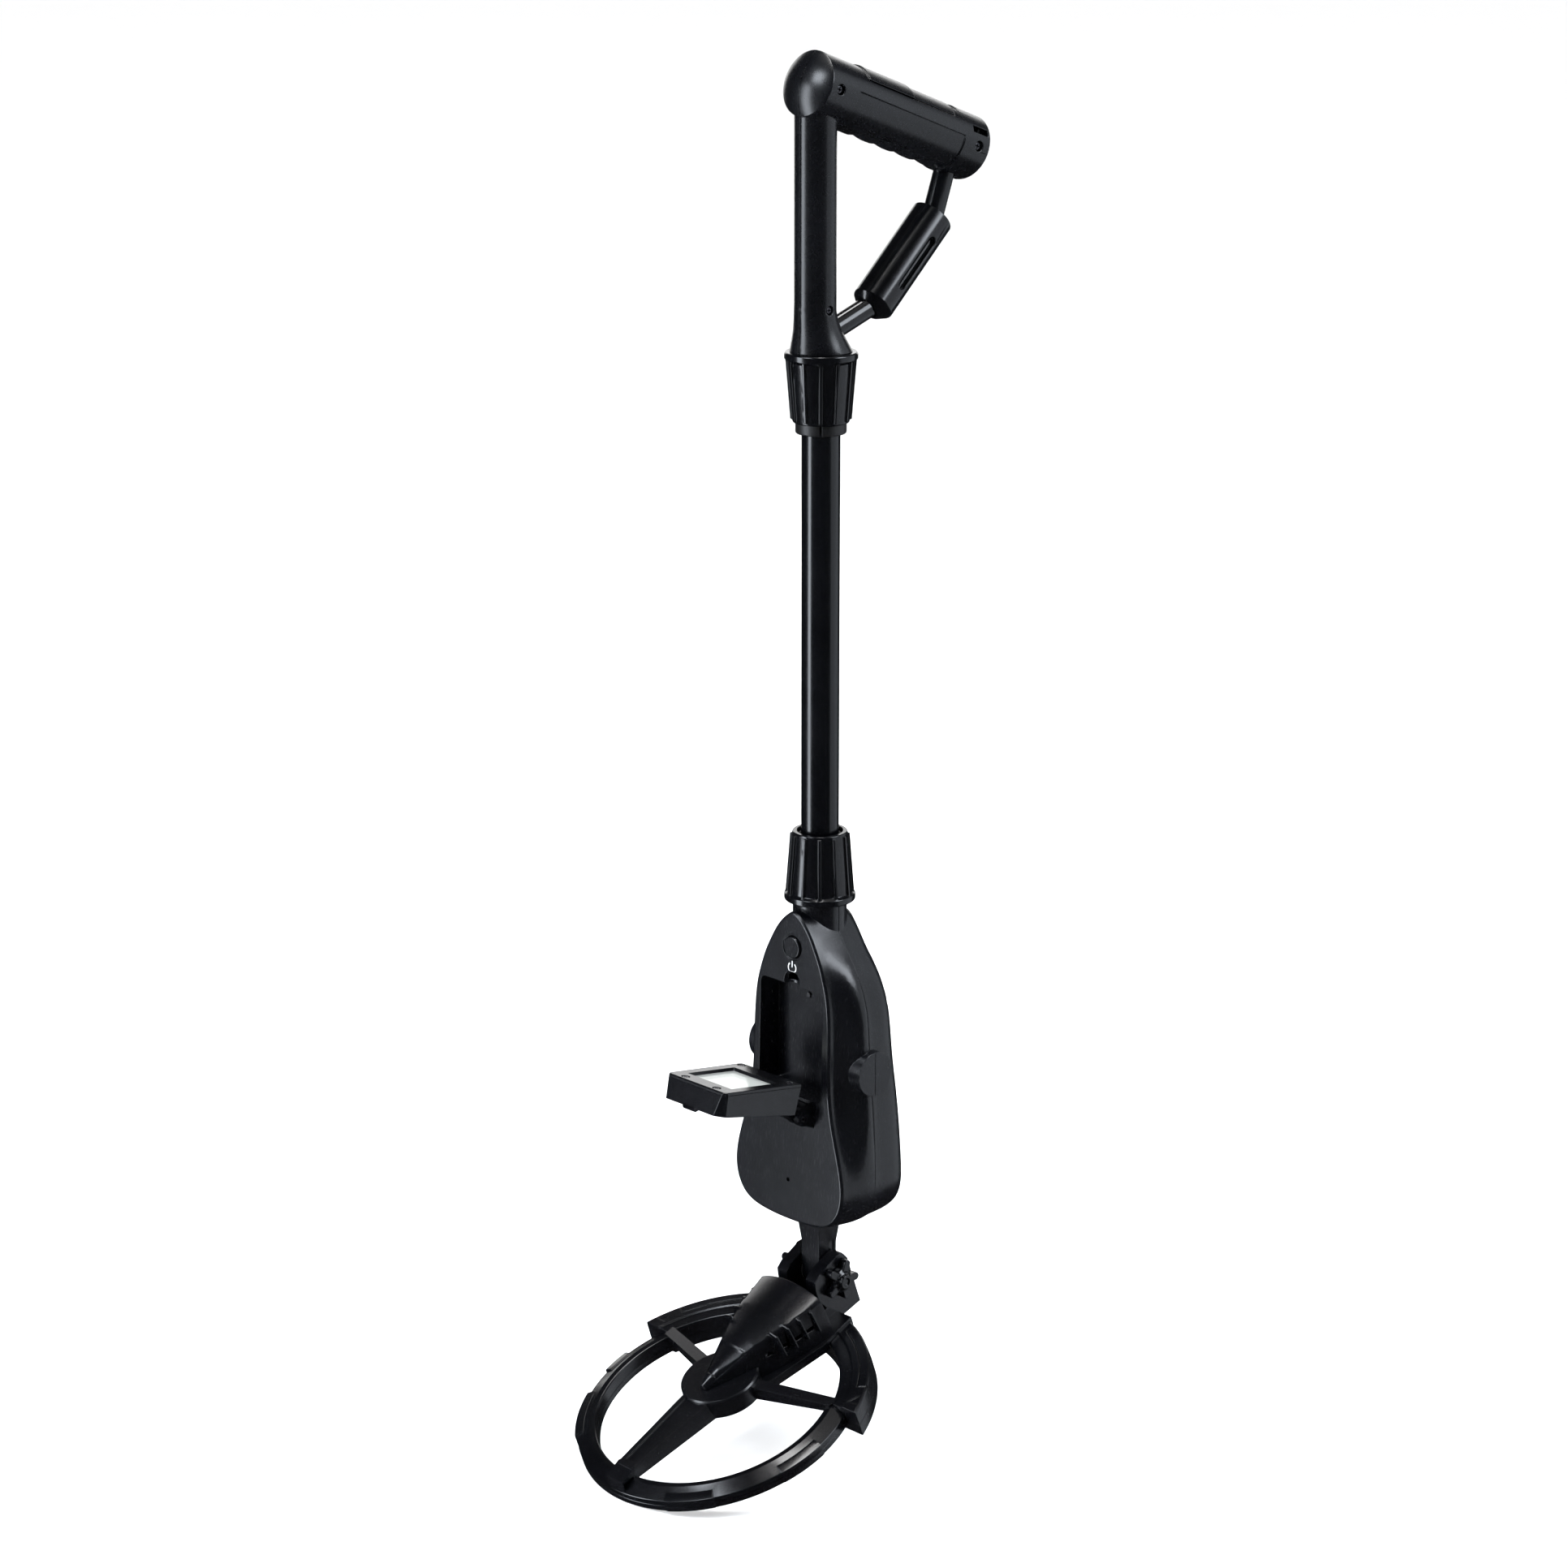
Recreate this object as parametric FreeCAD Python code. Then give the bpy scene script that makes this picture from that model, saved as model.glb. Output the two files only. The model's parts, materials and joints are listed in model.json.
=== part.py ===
import FreeCAD, Part
import math
import os

# Hand-held metal detector.  Lengths in millimetres.
# Design frame: the coil pivot is at the origin, +Z runs up the shaft, the control
# box faces -Y and everything is symmetric about x = 0.  On export every piece is
# moved so that the middle of the hand grip is the origin.

V = FreeCAD.Vector
X_AXIS = V(1, 0, 0)
Y_AXIS = V(0, 1, 0)
Z_AXIS = V(0, 0, 1)
HOME = V(0, 0, 0)

# ---- driving dimensions -------------------------------------------------------
GRIP_CENTRE = V(0, 44.6, 590.3)   # middle of the hand grip, becomes the origin
GRIP_SLOPE = 20.0                 # grip falls towards its free end, degrees
GRIP_R = 16.3                     # radius of the round grip
GRIP_WALL = 2.0
GRIP_CAP_R = 27.0                 # radius of the domed grip ends
GRIP_CAP_FRONT = -35.5            # centre of the front dome along the grip
GRIP_CAP_REAR = 36.8              # centre of the rear dome along the grip
GROOVE_PITCH = 14.6               # finger groove spacing
GROOVE_FIRST = -14.8              # bottom of the first groove, along the grip
GROOVE_DEPTH = 12.3               # groove bottom below the grip axis
GROOVE_CREST = 16.0               # crests between grooves, below the grip axis
COVER_FROM = -31.4                # battery cover, along the grip
COVER_TO = 32.3
COVER_LEVEL = 10.2                # battery cover edge above the grip axis
SLIP_GAP = 0.35                   # gap between pieces that move apart

STEM_R = 10.3                     # handle stem
STEM_Y = -4.1                     # the stem stands forward of the tube axis
STEM_BORE = 8.3

BRACE_TOP = V(0, 87.5, 568.0)     # brace rod, middle of the grip underside
BRACE_UPPER = V(0, 76.6, 538.4)   # upper end of the brace sleeve
BRACE_LOWER = V(0, 35.1, 499.7)   # lower end of the brace sleeve
BRACE_FOOT = V(0, 4.0, 489.0)     # foot of the brace, inside the stem
BRACE_ROD_R = 5.4
BRACE_SLEEVE_R = 10.8

TUBE_R = 9.5                      # 19 mm shaft tube
TUBE_BORE = 8.4
TUBE_LOW = 190.0
TUBE_HIGH = 480.0
SOCKET_R = 9.8                    # sockets around the tube
SPIGOT_R = 13.0
COLLAR_BORE = 13.35
COLLAR_BIG = 18.0
COLLAR_SMALL = 14.5
UPPER_COLLAR_TOP = 480.7
UPPER_COLLAR_LOW = 446.0
UPPER_COLLET_LOW = 440.7
LOWER_COLLAR_TOP = 238.7
LOWER_COLLAR_LOW = 202.7
COLLAR_LIP = 3.9
COLLAR_RIBS = 12

NECK_R = 13.65                    # neck of the control box
BOX_WALL = 2.0
BOX_TOP = 199.5
FACE_TOP_Y = -18.6                # front face of the box at BOX_TOP
FACE_SLOPE = 0.026                # the face stands further out lower down
BACK_TOP_Y = 17.6
BACK_SLOPE = 0.052
FACE_ROUND = 1.6
BACK_ROUND = 2.4
BOSS_R = 11.5                     # round bosses on both sides of the box
BOSS_X = 40.2
BOSS_Z = 119.0
POCKET_HALF = 22.4                # pocket that receives the folded display
POCKET_LOW = 103.5
POCKET_HIGH = 161.2
POCKET_FLOOR = -7.0
POCKET_WALL = 1.6
BUTTON_Z = 181.0
BUTTON_R = 5.6
BUTTON_TRAVEL = 1.2

HINGE_Y = -28.5                   # display hinge
HINGE_Z = 96.2
PIN_R = 1.45
DISPLAY_TILT = -9.0               # open display, degrees about X
DISPLAY_TOP = 20.3                # screen side above the hinge axis
DISPLAY_IN = 8.5
DISPLAY_OUT = 61.0
WINDOW_IN = 20.4
WINDOW_OUT = 50.7
WINDOW_HALF = 15.0

COIL_TILT = 20.0                  # coil front hangs down, degrees about X
COIL_TOP = -17.7                  # top plane of the coil below the pivot
COIL_Y = -86.0                    # coil centre in front of the pivot
HOUSING_IN = 65.5
HOUSING_OUT = 81.8
HOUSING_DEEP = 15.0
HOUSING_END = -60.5               # front ends of the C-shaped housing
RING_IN = 62.8
RING_RIDGE = 66.2
RING_OUT = 73.4
SEAM = -8.0                       # parting level of the coil halves
WINDING_R = 69.0
HUB_Y = -79.0
HUB_R = 20.5
HUB_TOP = 7.5
EAR_IN = 7.0
EAR_OUT = 14.0
BOLT_R = 2.5


# ---- small building blocks ----------------------------------------------------
def cylinder(radius, start, end):
    axis = end.sub(start)
    return Part.makeCylinder(radius, axis.Length, start, axis)


def cone(r_start, r_end, start, end):
    axis = end.sub(start)
    return Part.makeCone(r_start, r_end, axis.Length, start, axis)


def block(x0, x1, y0, y1, z0, z1):
    return Part.makeBox(x1 - x0, y1 - y0, z1 - z0, V(x0, y0, z0))


def prism_x(points, x0, x1):
    corners = [V(x0, y, z) for y, z in points]
    face = Part.Face(Part.makePolygon(corners + corners[:1]))
    return face.extrude(V(x1 - x0, 0, 0))


def prism_y(points, y0, y1):
    corners = [V(x, y0, z) for x, z in points]
    face = Part.Face(Part.makePolygon(corners + corners[:1]))
    return face.extrude(V(0, y1 - y0, 0))


def prism_z(points, z0, z1):
    corners = [V(x, y, z0) for x, y in points]
    face = Part.Face(Part.makePolygon(corners + corners[:1]))
    return face.extrude(V(0, 0, z1 - z0))


def revolve_z(profile, x=0.0, y=0.0):
    corners = [V(x + r, y, z) for r, z in profile]
    face = Part.Face(Part.makePolygon(corners + corners[:1]))
    return face.revolve(V(x, y, 0), Z_AXIS, 360)


def mirror_x(shape):
    return shape.mirror(HOME, X_AXIS)


def both_sides(shape):
    return shape.fuse(mirror_x(shape))


def merge(first, *others):
    shape = first
    for other in others:
        shape = shape.fuse(other)
    return shape.removeSplitter()


def group(pieces):
    return Part.makeCompound(pieces)


def round_hole_y(radius, x, z, y0, y1):
    return cylinder(radius, V(x, y0, z), V(x, y1, z))


def save(shape, name):
    placed = shape.copy()
    placed.translate(GRIP_CENTRE.negative())
    placed.exportStep(os.path.join("parts", name + ".step"))


def screw(head_r, head_h, shank_r, length, start, direction):
    # domed head at the start point, shank along the direction, cross recess in the head
    reach = head_r * 0.55
    slot = head_r * 0.13
    deep = head_h * 0.7
    body = Part.makeCylinder(head_r, head_h * 0.5, V(0, 0, head_h * 0.5))
    body = body.fuse(Part.makeCone(head_r * 0.72, head_r, head_h * 0.5))
    body = body.fuse(Part.makeCylinder(shank_r, length, V(0, 0, head_h)))
    body = body.cut(block(-reach, reach, -slot, slot, -1.0, deep))
    body = body.cut(block(-slot, slot, -reach, reach, -1.0, deep))
    turn = FreeCAD.Rotation(Z_AXIS, direction)
    body.Placement = FreeCAD.Placement(start, turn)
    return body


os.makedirs("parts", exist_ok=True)


# ---- handle -------------------------------------------------------------------
def in_grip(shape):
    # from the grip frame (+Y along the grip, +Z away from the fingers)
    placed = shape.copy()
    placed.rotate(HOME, X_AXIS, -GRIP_SLOPE)
    placed.translate(GRIP_CENTRE)
    return placed


def grip_rod(radius, y0, y1):
    return cylinder(radius, V(0, y0, 0), V(0, y1, 0))


def grip_outer():
    # round bar with a shallow dome on each end
    depth = math.sqrt(GRIP_CAP_R ** 2 - GRIP_R ** 2)
    lean = GRIP_R / 2.0
    bulge = math.sqrt(GRIP_CAP_R ** 2 - lean ** 2)
    front_tip = V(0, GRIP_CAP_FRONT - GRIP_CAP_R, 0)
    front_mid = V(0, GRIP_CAP_FRONT - bulge, lean)
    front_edge = V(0, GRIP_CAP_FRONT - depth, GRIP_R)
    rear_edge = V(0, GRIP_CAP_REAR + depth, GRIP_R)
    rear_mid = V(0, GRIP_CAP_REAR + bulge, lean)
    rear_tip = V(0, GRIP_CAP_REAR + GRIP_CAP_R, 0)
    outline = Part.Wire([Part.Arc(front_tip, front_mid, front_edge).toShape(),
                         Part.makeLine(front_edge, rear_edge),
                         Part.Arc(rear_edge, rear_mid, rear_tip).toShape(),
                         Part.makeLine(rear_tip, front_tip)])
    rod = Part.Face(outline).revolve(HOME, Y_AXIS, 360)
    belt = grip_rod(GRIP_R + 1, -37.5, 40.0).cut(grip_rod(GRIP_R - 0.7, -38, 41))
    lower = block(-20, 20, -37.5, 40.0, -20, 2.6)
    rod = rod.cut(belt.common(lower))
    return rod.cut(finger_grooves())


def finger_grooves():
    # cutter below a smooth wave: four grooves with rounded crests between them
    wave = [V(-20, GROOVE_FIRST - GROOVE_PITCH, -GRIP_R - 2.0),
            V(-20, GROOVE_FIRST - GROOVE_PITCH * 0.55, -GROOVE_CREST)]
    for step in range(4):
        wave.append(V(-20, GROOVE_FIRST + GROOVE_PITCH * step, -GROOVE_DEPTH))
        wave.append(V(-20, GROOVE_FIRST + GROOVE_PITCH * (step + 0.5), -GROOVE_CREST))
    wave.append(V(-20, GROOVE_FIRST + GROOVE_PITCH * 4.0, -GRIP_R - 2.0))
    curve = Part.BSplineCurve()
    curve.interpolate(Points=wave)
    low_start = V(-20, wave[0].y, -30)
    low_end = V(-20, wave[-1].y, -30)
    outline = Part.Wire([curve.toShape(), Part.makeLine(wave[-1], low_end),
                         Part.makeLine(low_end, low_start), Part.makeLine(low_start, wave[0])])
    return Part.Face(outline).extrude(V(40, 0, 0))


def grip_cavity():
    bore = grip_rod(GRIP_R - GRIP_WALL, -52.0, 53.5)
    return bore.common(block(-20, 20, -60, 60, -GROOVE_DEPTH + 2.0, 20))


def cover_space(gap):
    return block(-20, 20, COVER_FROM - gap, COVER_TO + gap, COVER_LEVEL - gap, 25)


def flare():
    stations = [(480.7, 15.4, 0.0), (485.5, 13.8, -1.2), (490.0, 12.3, -2.3),
                (496.0, 10.9, -3.6), (504.0, STEM_R, STEM_Y)]
    rings = []
    for z, radius, y in stations:
        rings.append(Part.Wire(Part.makeCircle(radius, V(0, y, z))))
    return Part.makeLoft(rings, True)


def thread(radius, z0, z1, pitch):
    # round ridges that stand for the collar thread
    ridges = []
    z = z0
    while z < z1:
        ring = revolve_z([(radius - 0.4, z - 0.7), (radius, z), (radius - 0.4, z + 0.7)])
        ridges.append(ring)
        z = z + pitch
    return ridges


def handle_solid():
    stem = cylinder(STEM_R, V(0, STEM_Y, 504.0), V(0, STEM_Y, 606.0))
    outer = in_grip(grip_outer()).fuse(stem).fuse(flare())
    spigot = cylinder(SPIGOT_R - 0.4, V(0, 0, 453.0), V(0, 0, 481.0))
    outer = outer.fuse(spigot)
    for ridge in thread(SPIGOT_R, 455.0, 476.0, 3.5):
        outer = outer.fuse(ridge)
    outer = outer.cut(cylinder(SOCKET_R, V(0, 0, 452.0), V(0, 0, 481.5)))
    outer = outer.cut(cylinder(STEM_BORE, V(0, STEM_Y, 500.0), V(0, STEM_Y, 590.0)))
    outer = outer.cut(in_grip(grip_cavity()))
    outer = outer.cut(in_grip(cover_space(SLIP_GAP)))
    return outer


def brace_path_cut():
    top = cylinder(BRACE_ROD_R, BRACE_UPPER, BRACE_TOP)
    foot = cylinder(BRACE_ROD_R, BRACE_FOOT, BRACE_LOWER)
    return top.fuse(foot)


GRIP_SCREWS = [(-50.5, 0.0, GRIP_R), (51.0, 0.0, GRIP_R)]
STEM_SCREW_Z = 502.0


def handle_screw_holes():
    tools = []
    for y, z, x in GRIP_SCREWS:
        wide = cylinder(2.6, V(x - 3.2, y, z), V(x + 1, y, z))
        narrow = cylinder(1.3, V(-10.0, y, z), V(x, y, z))
        tools.append(in_grip(wide.fuse(narrow)))
    start = V(STEM_R - 2.6, STEM_Y, STEM_SCREW_Z)
    tools.append(cylinder(2.2, start, V(STEM_R + 2, STEM_Y, STEM_SCREW_Z)))
    tools.append(cylinder(1.3, V(-7.0, STEM_Y, STEM_SCREW_Z), start))
    return group(tools)


def grip_details():
    # slot beside the rear screw and the finger crescent behind the battery cover
    slot = block(10.0, 18.0, 46.0, 57.0, 6.0, 9.0)
    crescent = cylinder(7.0, V(-20, 37.6, 20.4), V(20, 37.6, 20.4))
    crescent = crescent.common(block(-20, 20, 32.6, 37.6, 10.2, 30))
    return in_grip(slot.fuse(crescent))


def boss_posts():
    # screw posts that tie the two handle halves together
    posts = []
    for y, z, x in GRIP_SCREWS:
        posts.append(in_grip(cylinder(3.6, V(-15.5, y, z), V(14.0, y, z))))
    posts.append(cylinder(3.2, V(-9.0, STEM_Y, STEM_SCREW_Z), V(9.0, STEM_Y, STEM_SCREW_Z)))
    return posts


handle = handle_solid()
post_limit = in_grip(grip_rod(GRIP_R - 1, -56, 56))
post_limit = post_limit.fuse(cylinder(STEM_R - 1, V(0, STEM_Y, 498), V(0, STEM_Y, 510)))
for post in boss_posts():
    handle = handle.fuse(post.common(post_limit))
handle = handle.cut(brace_path_cut())
handle = handle.cut(handle_screw_holes())
handle = handle.cut(grip_details())
right_half = block(0, 60, -60, 160, 430, 660)
handle_right = handle.common(right_half)
handle_left = handle.common(mirror_x(right_half))
save(handle_left, "handle_shell_left")
save(handle_right, "handle_shell_right")

handle_screws = []
for y, z, x in GRIP_SCREWS:
    handle_screws.append(in_grip(screw(2.3, 1.8, 1.15, 14.0, V(x - 1.4, y, z), V(-1, 0, 0))))
stem_screw_start = V(STEM_R - 0.9, STEM_Y, STEM_SCREW_Z)
handle_screws.append(screw(1.9, 1.6, 1.15, 11.0, stem_screw_start, V(-1, 0, 0)))
save(group(handle_screws), "handle_screws")

# brace: bent rod in three straight runs and the sleeve moulded over its middle
rod = cylinder(BRACE_ROD_R, BRACE_UPPER, BRACE_TOP)
rod = rod.fuse(Part.makeSphere(BRACE_ROD_R, BRACE_UPPER))
rod = rod.fuse(cylinder(BRACE_ROD_R, BRACE_UPPER, BRACE_LOWER))
rod = rod.fuse(Part.makeSphere(BRACE_ROD_R, BRACE_LOWER))
rod = rod.fuse(cylinder(BRACE_ROD_R, BRACE_FOOT, BRACE_LOWER))
save(rod, "brace_rod")

brace_axis = V(BRACE_LOWER.sub(BRACE_UPPER)).normalize()
brace_normal = V(brace_axis).cross(X_AXIS)
sleeve_nose = BRACE_LOWER.add(V(brace_axis).multiply(4.5))
sleeve = cylinder(BRACE_SLEEVE_R, BRACE_UPPER, BRACE_LOWER)
sleeve = sleeve.fuse(cone(BRACE_SLEEVE_R, 6.2, BRACE_LOWER, sleeve_nose))
sleeve = sleeve.cut(rod)


def side_slot(width, x0, x1):
    # long round-ended slot in both sides of the sleeve, along the brace
    start = BRACE_UPPER.add(V(brace_axis).multiply(15.0))
    stop = BRACE_UPPER.add(V(brace_axis).multiply(43.0))
    half = V(brace_normal).multiply(width / 2.0)
    corners = [start.add(half), stop.add(half), stop.sub(half), start.sub(half)]
    body = prism_x([(p.y, p.z) for p in corners], x0, x1)
    for end in (start, stop):
        body = body.fuse(cylinder(width / 2.0, V(x0, end.y, end.z), V(x1, end.y, end.z)))
    return body


sleeve = sleeve.cut(both_sides(side_slot(4.4, 7.4, 12.0)))
sleeve = sleeve.fuse(both_sides(side_slot(1.2, 7.2, 9.0)))
save(sleeve, "brace_sleeve")

# battery bay in the grip
cell_spots = [(-5.4, -4.0), (5.4, -4.0), (0.0, 5.3)]
cells = []
for x, z in cell_spots:
    can = cylinder(5.2, V(x, -24.0, z), V(x, 19.7, z))
    nub = cylinder(1.8, V(x, 19.7, z), V(x, 20.5, z))
    cells.append(in_grip(can.fuse(nub)))
save(group(cells), "battery_cells")
bay_section = block(-20, 20, -40, 40, -GROOVE_DEPTH + 2.0, 9.6)
front_plate = grip_rod(GRIP_R - GRIP_WALL, -30.0, -28.6).common(bay_section)
rear_plate = grip_rod(GRIP_R - GRIP_WALL, 21.6, 23.0).common(bay_section)
contacts = []
for x, z in cell_spots:
    contacts.append(in_grip(cylinder(3.2, V(x, 20.5, z), V(x, 21.6, z))))
save(group(contacts), "battery_contact_pads")
springs = []
for x, z in cell_spots:
    spring = cylinder(0.5, V(x, -28.6, z), V(x, -24.2, z))
    for turn in range(4):
        y = -28.6 + 1.2 * turn
        radius = 3.6 - 0.4 * turn
        ring = cylinder(radius, V(x, y, z), V(x, y + 0.7, z))
        hole = cylinder(radius - 0.8, V(x, y - 1, z), V(x, y + 2, z))
        spoke = block(x - radius + 0.3, x, y, y + 0.7, z - 0.35, z + 0.35)
        spring = spring.fuse(ring.cut(hole)).fuse(spoke)
    springs.append(in_grip(spring))
save(group(springs), "battery_springs")
save(group([in_grip(front_plate), in_grip(rear_plate)]), "battery_end_walls")

# battery cover, lifts off the top of the grip
cover = grip_rod(GRIP_R, COVER_FROM, COVER_TO)
cover = cover.fuse(grip_rod(GRIP_R + 0.7, COVER_FROM + 1.0, 2.0))
cover = cover.cut(grip_rod(GRIP_R - GRIP_WALL, COVER_FROM - 1, COVER_TO + 1))
cover = cover.common(cover_space(0.0))
save(in_grip(cover), "battery_cover")


# ---- twist collars, collets and tube -------------------------------------------
def collar(big_z, small_z, bore_profile):
    # big_z carries the lip, the grip narrows towards small_z
    side = 1.0 if small_z > big_z else -1.0
    lip_z = big_z + side * COLLAR_LIP
    outer = [(COLLAR_BIG - 0.6, big_z), (COLLAR_BIG, big_z + side * 0.6),
             (COLLAR_BIG, lip_z - side * 0.6), (COLLAR_BIG - 0.8, lip_z),
             (COLLAR_BIG - 1.7, lip_z + side * 0.8), (COLLAR_SMALL - 0.5, small_z - side * 0.6),
             (COLLAR_SMALL - 0.9, small_z)]
    body = revolve_z(outer + bore_profile)
    rib_low = (COLLAR_BIG - 0.6, lip_z - side * 0.5)
    rib_top = (COLLAR_SMALL + 0.5, small_z - side * 1.4)
    for index in range(COLLAR_RIBS):
        rib = prism_y([(rib_low[0], rib_low[1]), (rib_top[0], rib_top[1]),
                       (rib_top[0] - 2.0, rib_top[1]), (rib_low[0] - 2.0, rib_low[1])],
                      -0.7, 0.7)
        rib.rotate(HOME, Z_AXIS, 15.0 + 30.0 * index)
        body = body.fuse(rib)
    return body.removeSplitter()


upper_bore = [(12.95, UPPER_COLLAR_LOW), (12.95, 452.2), (COLLAR_BORE, 452.6),
              (COLLAR_BORE, UPPER_COLLAR_TOP)]
save(collar(UPPER_COLLAR_TOP, UPPER_COLLAR_LOW, upper_bore), "upper_collar")
lower_bore = [(11.6, LOWER_COLLAR_TOP), (11.6, 228.0), (COLLAR_BORE, 227.4),
              (COLLAR_BORE, LOWER_COLLAR_LOW)]
save(collar(LOWER_COLLAR_LOW, LOWER_COLLAR_TOP, lower_bore), "lower_collar")


def collet(profile, z0, z1):
    body = revolve_z(profile)
    for index in range(4):
        slit = block(8.0, 14.0, -0.6, 0.6, z0, z1)
        slit.rotate(HOME, Z_AXIS, 45.0 + 90.0 * index)
        body = body.cut(slit)
    return body


upper_collet = collet([(SOCKET_R, UPPER_COLLET_LOW), (12.2, UPPER_COLLET_LOW),
                       (12.6, UPPER_COLLET_LOW + 0.6), (12.6, 452.9), (SOCKET_R, 452.9)],
                      UPPER_COLLET_LOW - 1, 449.5)
save(upper_collet, "upper_collet")
lower_collet = collet([(SOCKET_R, 226.1), (11.2, 226.1), (11.2, 236.4), (10.8, 237.0),
                       (SOCKET_R, 237.0)], 229.5, 238.0)
save(lower_collet, "lower_collet")

tube = cylinder(TUBE_R, V(0, 0, TUBE_LOW), V(0, 0, TUBE_HIGH))
tube = tube.cut(cylinder(TUBE_BORE, V(0, 0, TUBE_LOW - 1), V(0, 0, TUBE_HIGH + 1)))
save(tube, "shaft_tube")
for name, z_end, z_in in (("tube_plug_upper", TUBE_HIGH, TUBE_HIGH - 12.0),
                          ("tube_plug_lower", TUBE_LOW, TUBE_LOW + 12.0)):
    plug = cylinder(TUBE_BORE, V(0, 0, z_end), V(0, 0, z_in))
    plug = plug.cut(cylinder(4.0, V(0, 0, z_end - 15), V(0, 0, z_end + 15)))
    save(plug, name)


# ---- control box ----------------------------------------------------------------
# Right-hand half outlines (x, z) from the top of the box round to the bottom.
PARTING_OUTLINE = [(0, 199), (6, 197.5), (11, 192.5), (15, 186.5), (19, 180), (23, 174.5),
                   (27, 168.5), (31, 160.5), (34, 151), (35.6, 138), (36.6, 122), (38.5, 104),
                   (40, 84), (40.6, 64), (39.5, 51), (35.5, 42.5), (28, 37), (15, 34.5),
                   (0, 34)]
FACE_OUTLINE = [(0, 199.5), (4, 197.8), (8.4, 194), (12.2, 189.5), (16.3, 182.5), (20, 175),
                (23.2, 166.5), (25.8, 157.5), (27.2, 147), (27.8, 134), (28, 121), (29.2, 104),
                (32.5, 88), (37, 72), (39, 60), (37.6, 50), (32, 41.5), (18, 36.5),
                (0, 35.5)]
# share of the parting outline in the sections between the parting plane and the face:
# the flank stays full, then a narrow scoop runs down beside the face
SCOOP_BLEND = [0.5, 0.5, 0.5, 0.5, 0.5, 0.4, 0.28, 0.18, 0.12, 0.1, 0.1, 0.12, 0.22, 0.4,
               0.5, 0.5, 0.5, 0.5, 0.5]
FLANK_BLEND = [0.9, 0.9, 0.9, 0.9, 0.9, 0.9, 0.88, 0.84, 0.8, 0.8, 0.8, 0.84, 0.9, 0.93,
               0.95, 0.95, 0.95, 0.95, 0.95]


def face_y(z):
    return FACE_TOP_Y - (BOX_TOP - z) * FACE_SLOPE


def back_y(z):
    return BACK_TOP_Y + (BOX_TOP - z) * BACK_SLOPE


def blend(first, second, shares):
    mixed = []
    for a, b, k in zip(first, second, shares):
        mixed.append((a[0] + (b[0] - a[0]) * k, a[1] + (b[1] - a[1]) * k))
    return mixed


def shrink(outline, distance):
    # move every station of a half outline inwards by the same distance
    moved = []
    last = len(outline) - 1
    for index, (x, z) in enumerate(outline):
        before = outline[index - 1] if index > 0 else (-outline[1][0], outline[1][1])
        after = outline[index + 1] if index < last else (-outline[last - 1][0],
                                                         outline[last - 1][1])
        dx = after[0] - before[0]
        dz = after[1] - before[1]
        length = math.hypot(dx, dz)
        moved.append((max(x + dz / length * distance, 0.0), z - dx / length * distance))
    moved[0] = (0.0, outline[0][1] - distance)
    moved[last] = (0.0, outline[last][1] + distance)
    return moved


def closed_wire(outline, depth):
    # smooth closed wire through a half outline and its mirror image
    points = [V(x, depth(z), z) for x, z in outline]
    mirrored = [V(-x, depth(z), z) for x, z in reversed(outline[1:-1])]
    curve = Part.BSplineCurve()
    curve.interpolate(Points=points + mirrored, PeriodicFlag=True)
    return Part.Wire(curve.toShape())


def box_body(inset):
    parting = shrink(PARTING_OUTLINE, inset)
    face = shrink(FACE_OUTLINE, inset)
    scoop = shrink(blend(FACE_OUTLINE, PARTING_OUTLINE, SCOOP_BLEND), inset)
    flank = shrink(blend(FACE_OUTLINE, PARTING_OUTLINE, FLANK_BLEND), inset)
    back_mid = shrink(PARTING_OUTLINE, inset + 1.0)
    back_edge = shrink(PARTING_OUTLINE, inset + 2.8)
    back = shrink(PARTING_OUTLINE, inset + 6.0)
    front_wires = [closed_wire(parting, lambda z: 0.0),
                   closed_wire(flank, lambda z: face_y(z) * 0.42),
                   closed_wire(scoop, lambda z: face_y(z) * 0.74),
                   closed_wire(face, lambda z: face_y(z) + inset)]
    rear_wires = [closed_wire(parting, lambda z: 0.0),
                  closed_wire(back_mid, lambda z: back_y(z) * 0.5),
                  closed_wire(back_edge, lambda z: back_y(z) * 0.84),
                  closed_wire(back, lambda z: back_y(z) - inset)]
    return Part.makeLoft(front_wires, True), Part.makeLoft(rear_wires, True)


front_body, rear_body = box_body(0.0)
front_body = front_body.makeFillet(FACE_ROUND, [edge for edge in front_body.Edges
                                                if edge.BoundBox.YMax < -12.0])
rear_body = rear_body.makeFillet(BACK_ROUND, [edge for edge in rear_body.Edges
                                              if edge.BoundBox.YMin > 12.0])
front_void, rear_void = box_body(BOX_WALL)

neck = cylinder(NECK_R, V(0, 0, 187.4), V(0, 0, LOWER_COLLAR_LOW - SLIP_GAP))
spigot = cylinder(SPIGOT_R - 0.4, V(0, 0, 202.0), V(0, 0, 226.0))
for ridge in thread(SPIGOT_R, 206.0, 224.0, 3.5):
    spigot = spigot.fuse(ridge)
neck = neck.fuse(spigot)
neck_bore = cylinder(SOCKET_R, V(0, 0, 189.6), V(0, 0, 227.0))

# square stem that leaves the bottom of the box and carries the coil pivot
STEM_HALF_X = 6.5
STEM_HALF_Y = 6.3
STEM_WIDE = 8.6
STEM_TAPER_LOW = 17.0
STEM_TAPER_TOP = 35.0


def square_wire(half_x, half_y, z):
    corners = [V(-half_x, -half_y, z), V(half_x, -half_y, z), V(half_x, half_y, z),
               V(-half_x, half_y, z)]
    return Part.makePolygon(corners + corners[:1])


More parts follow.
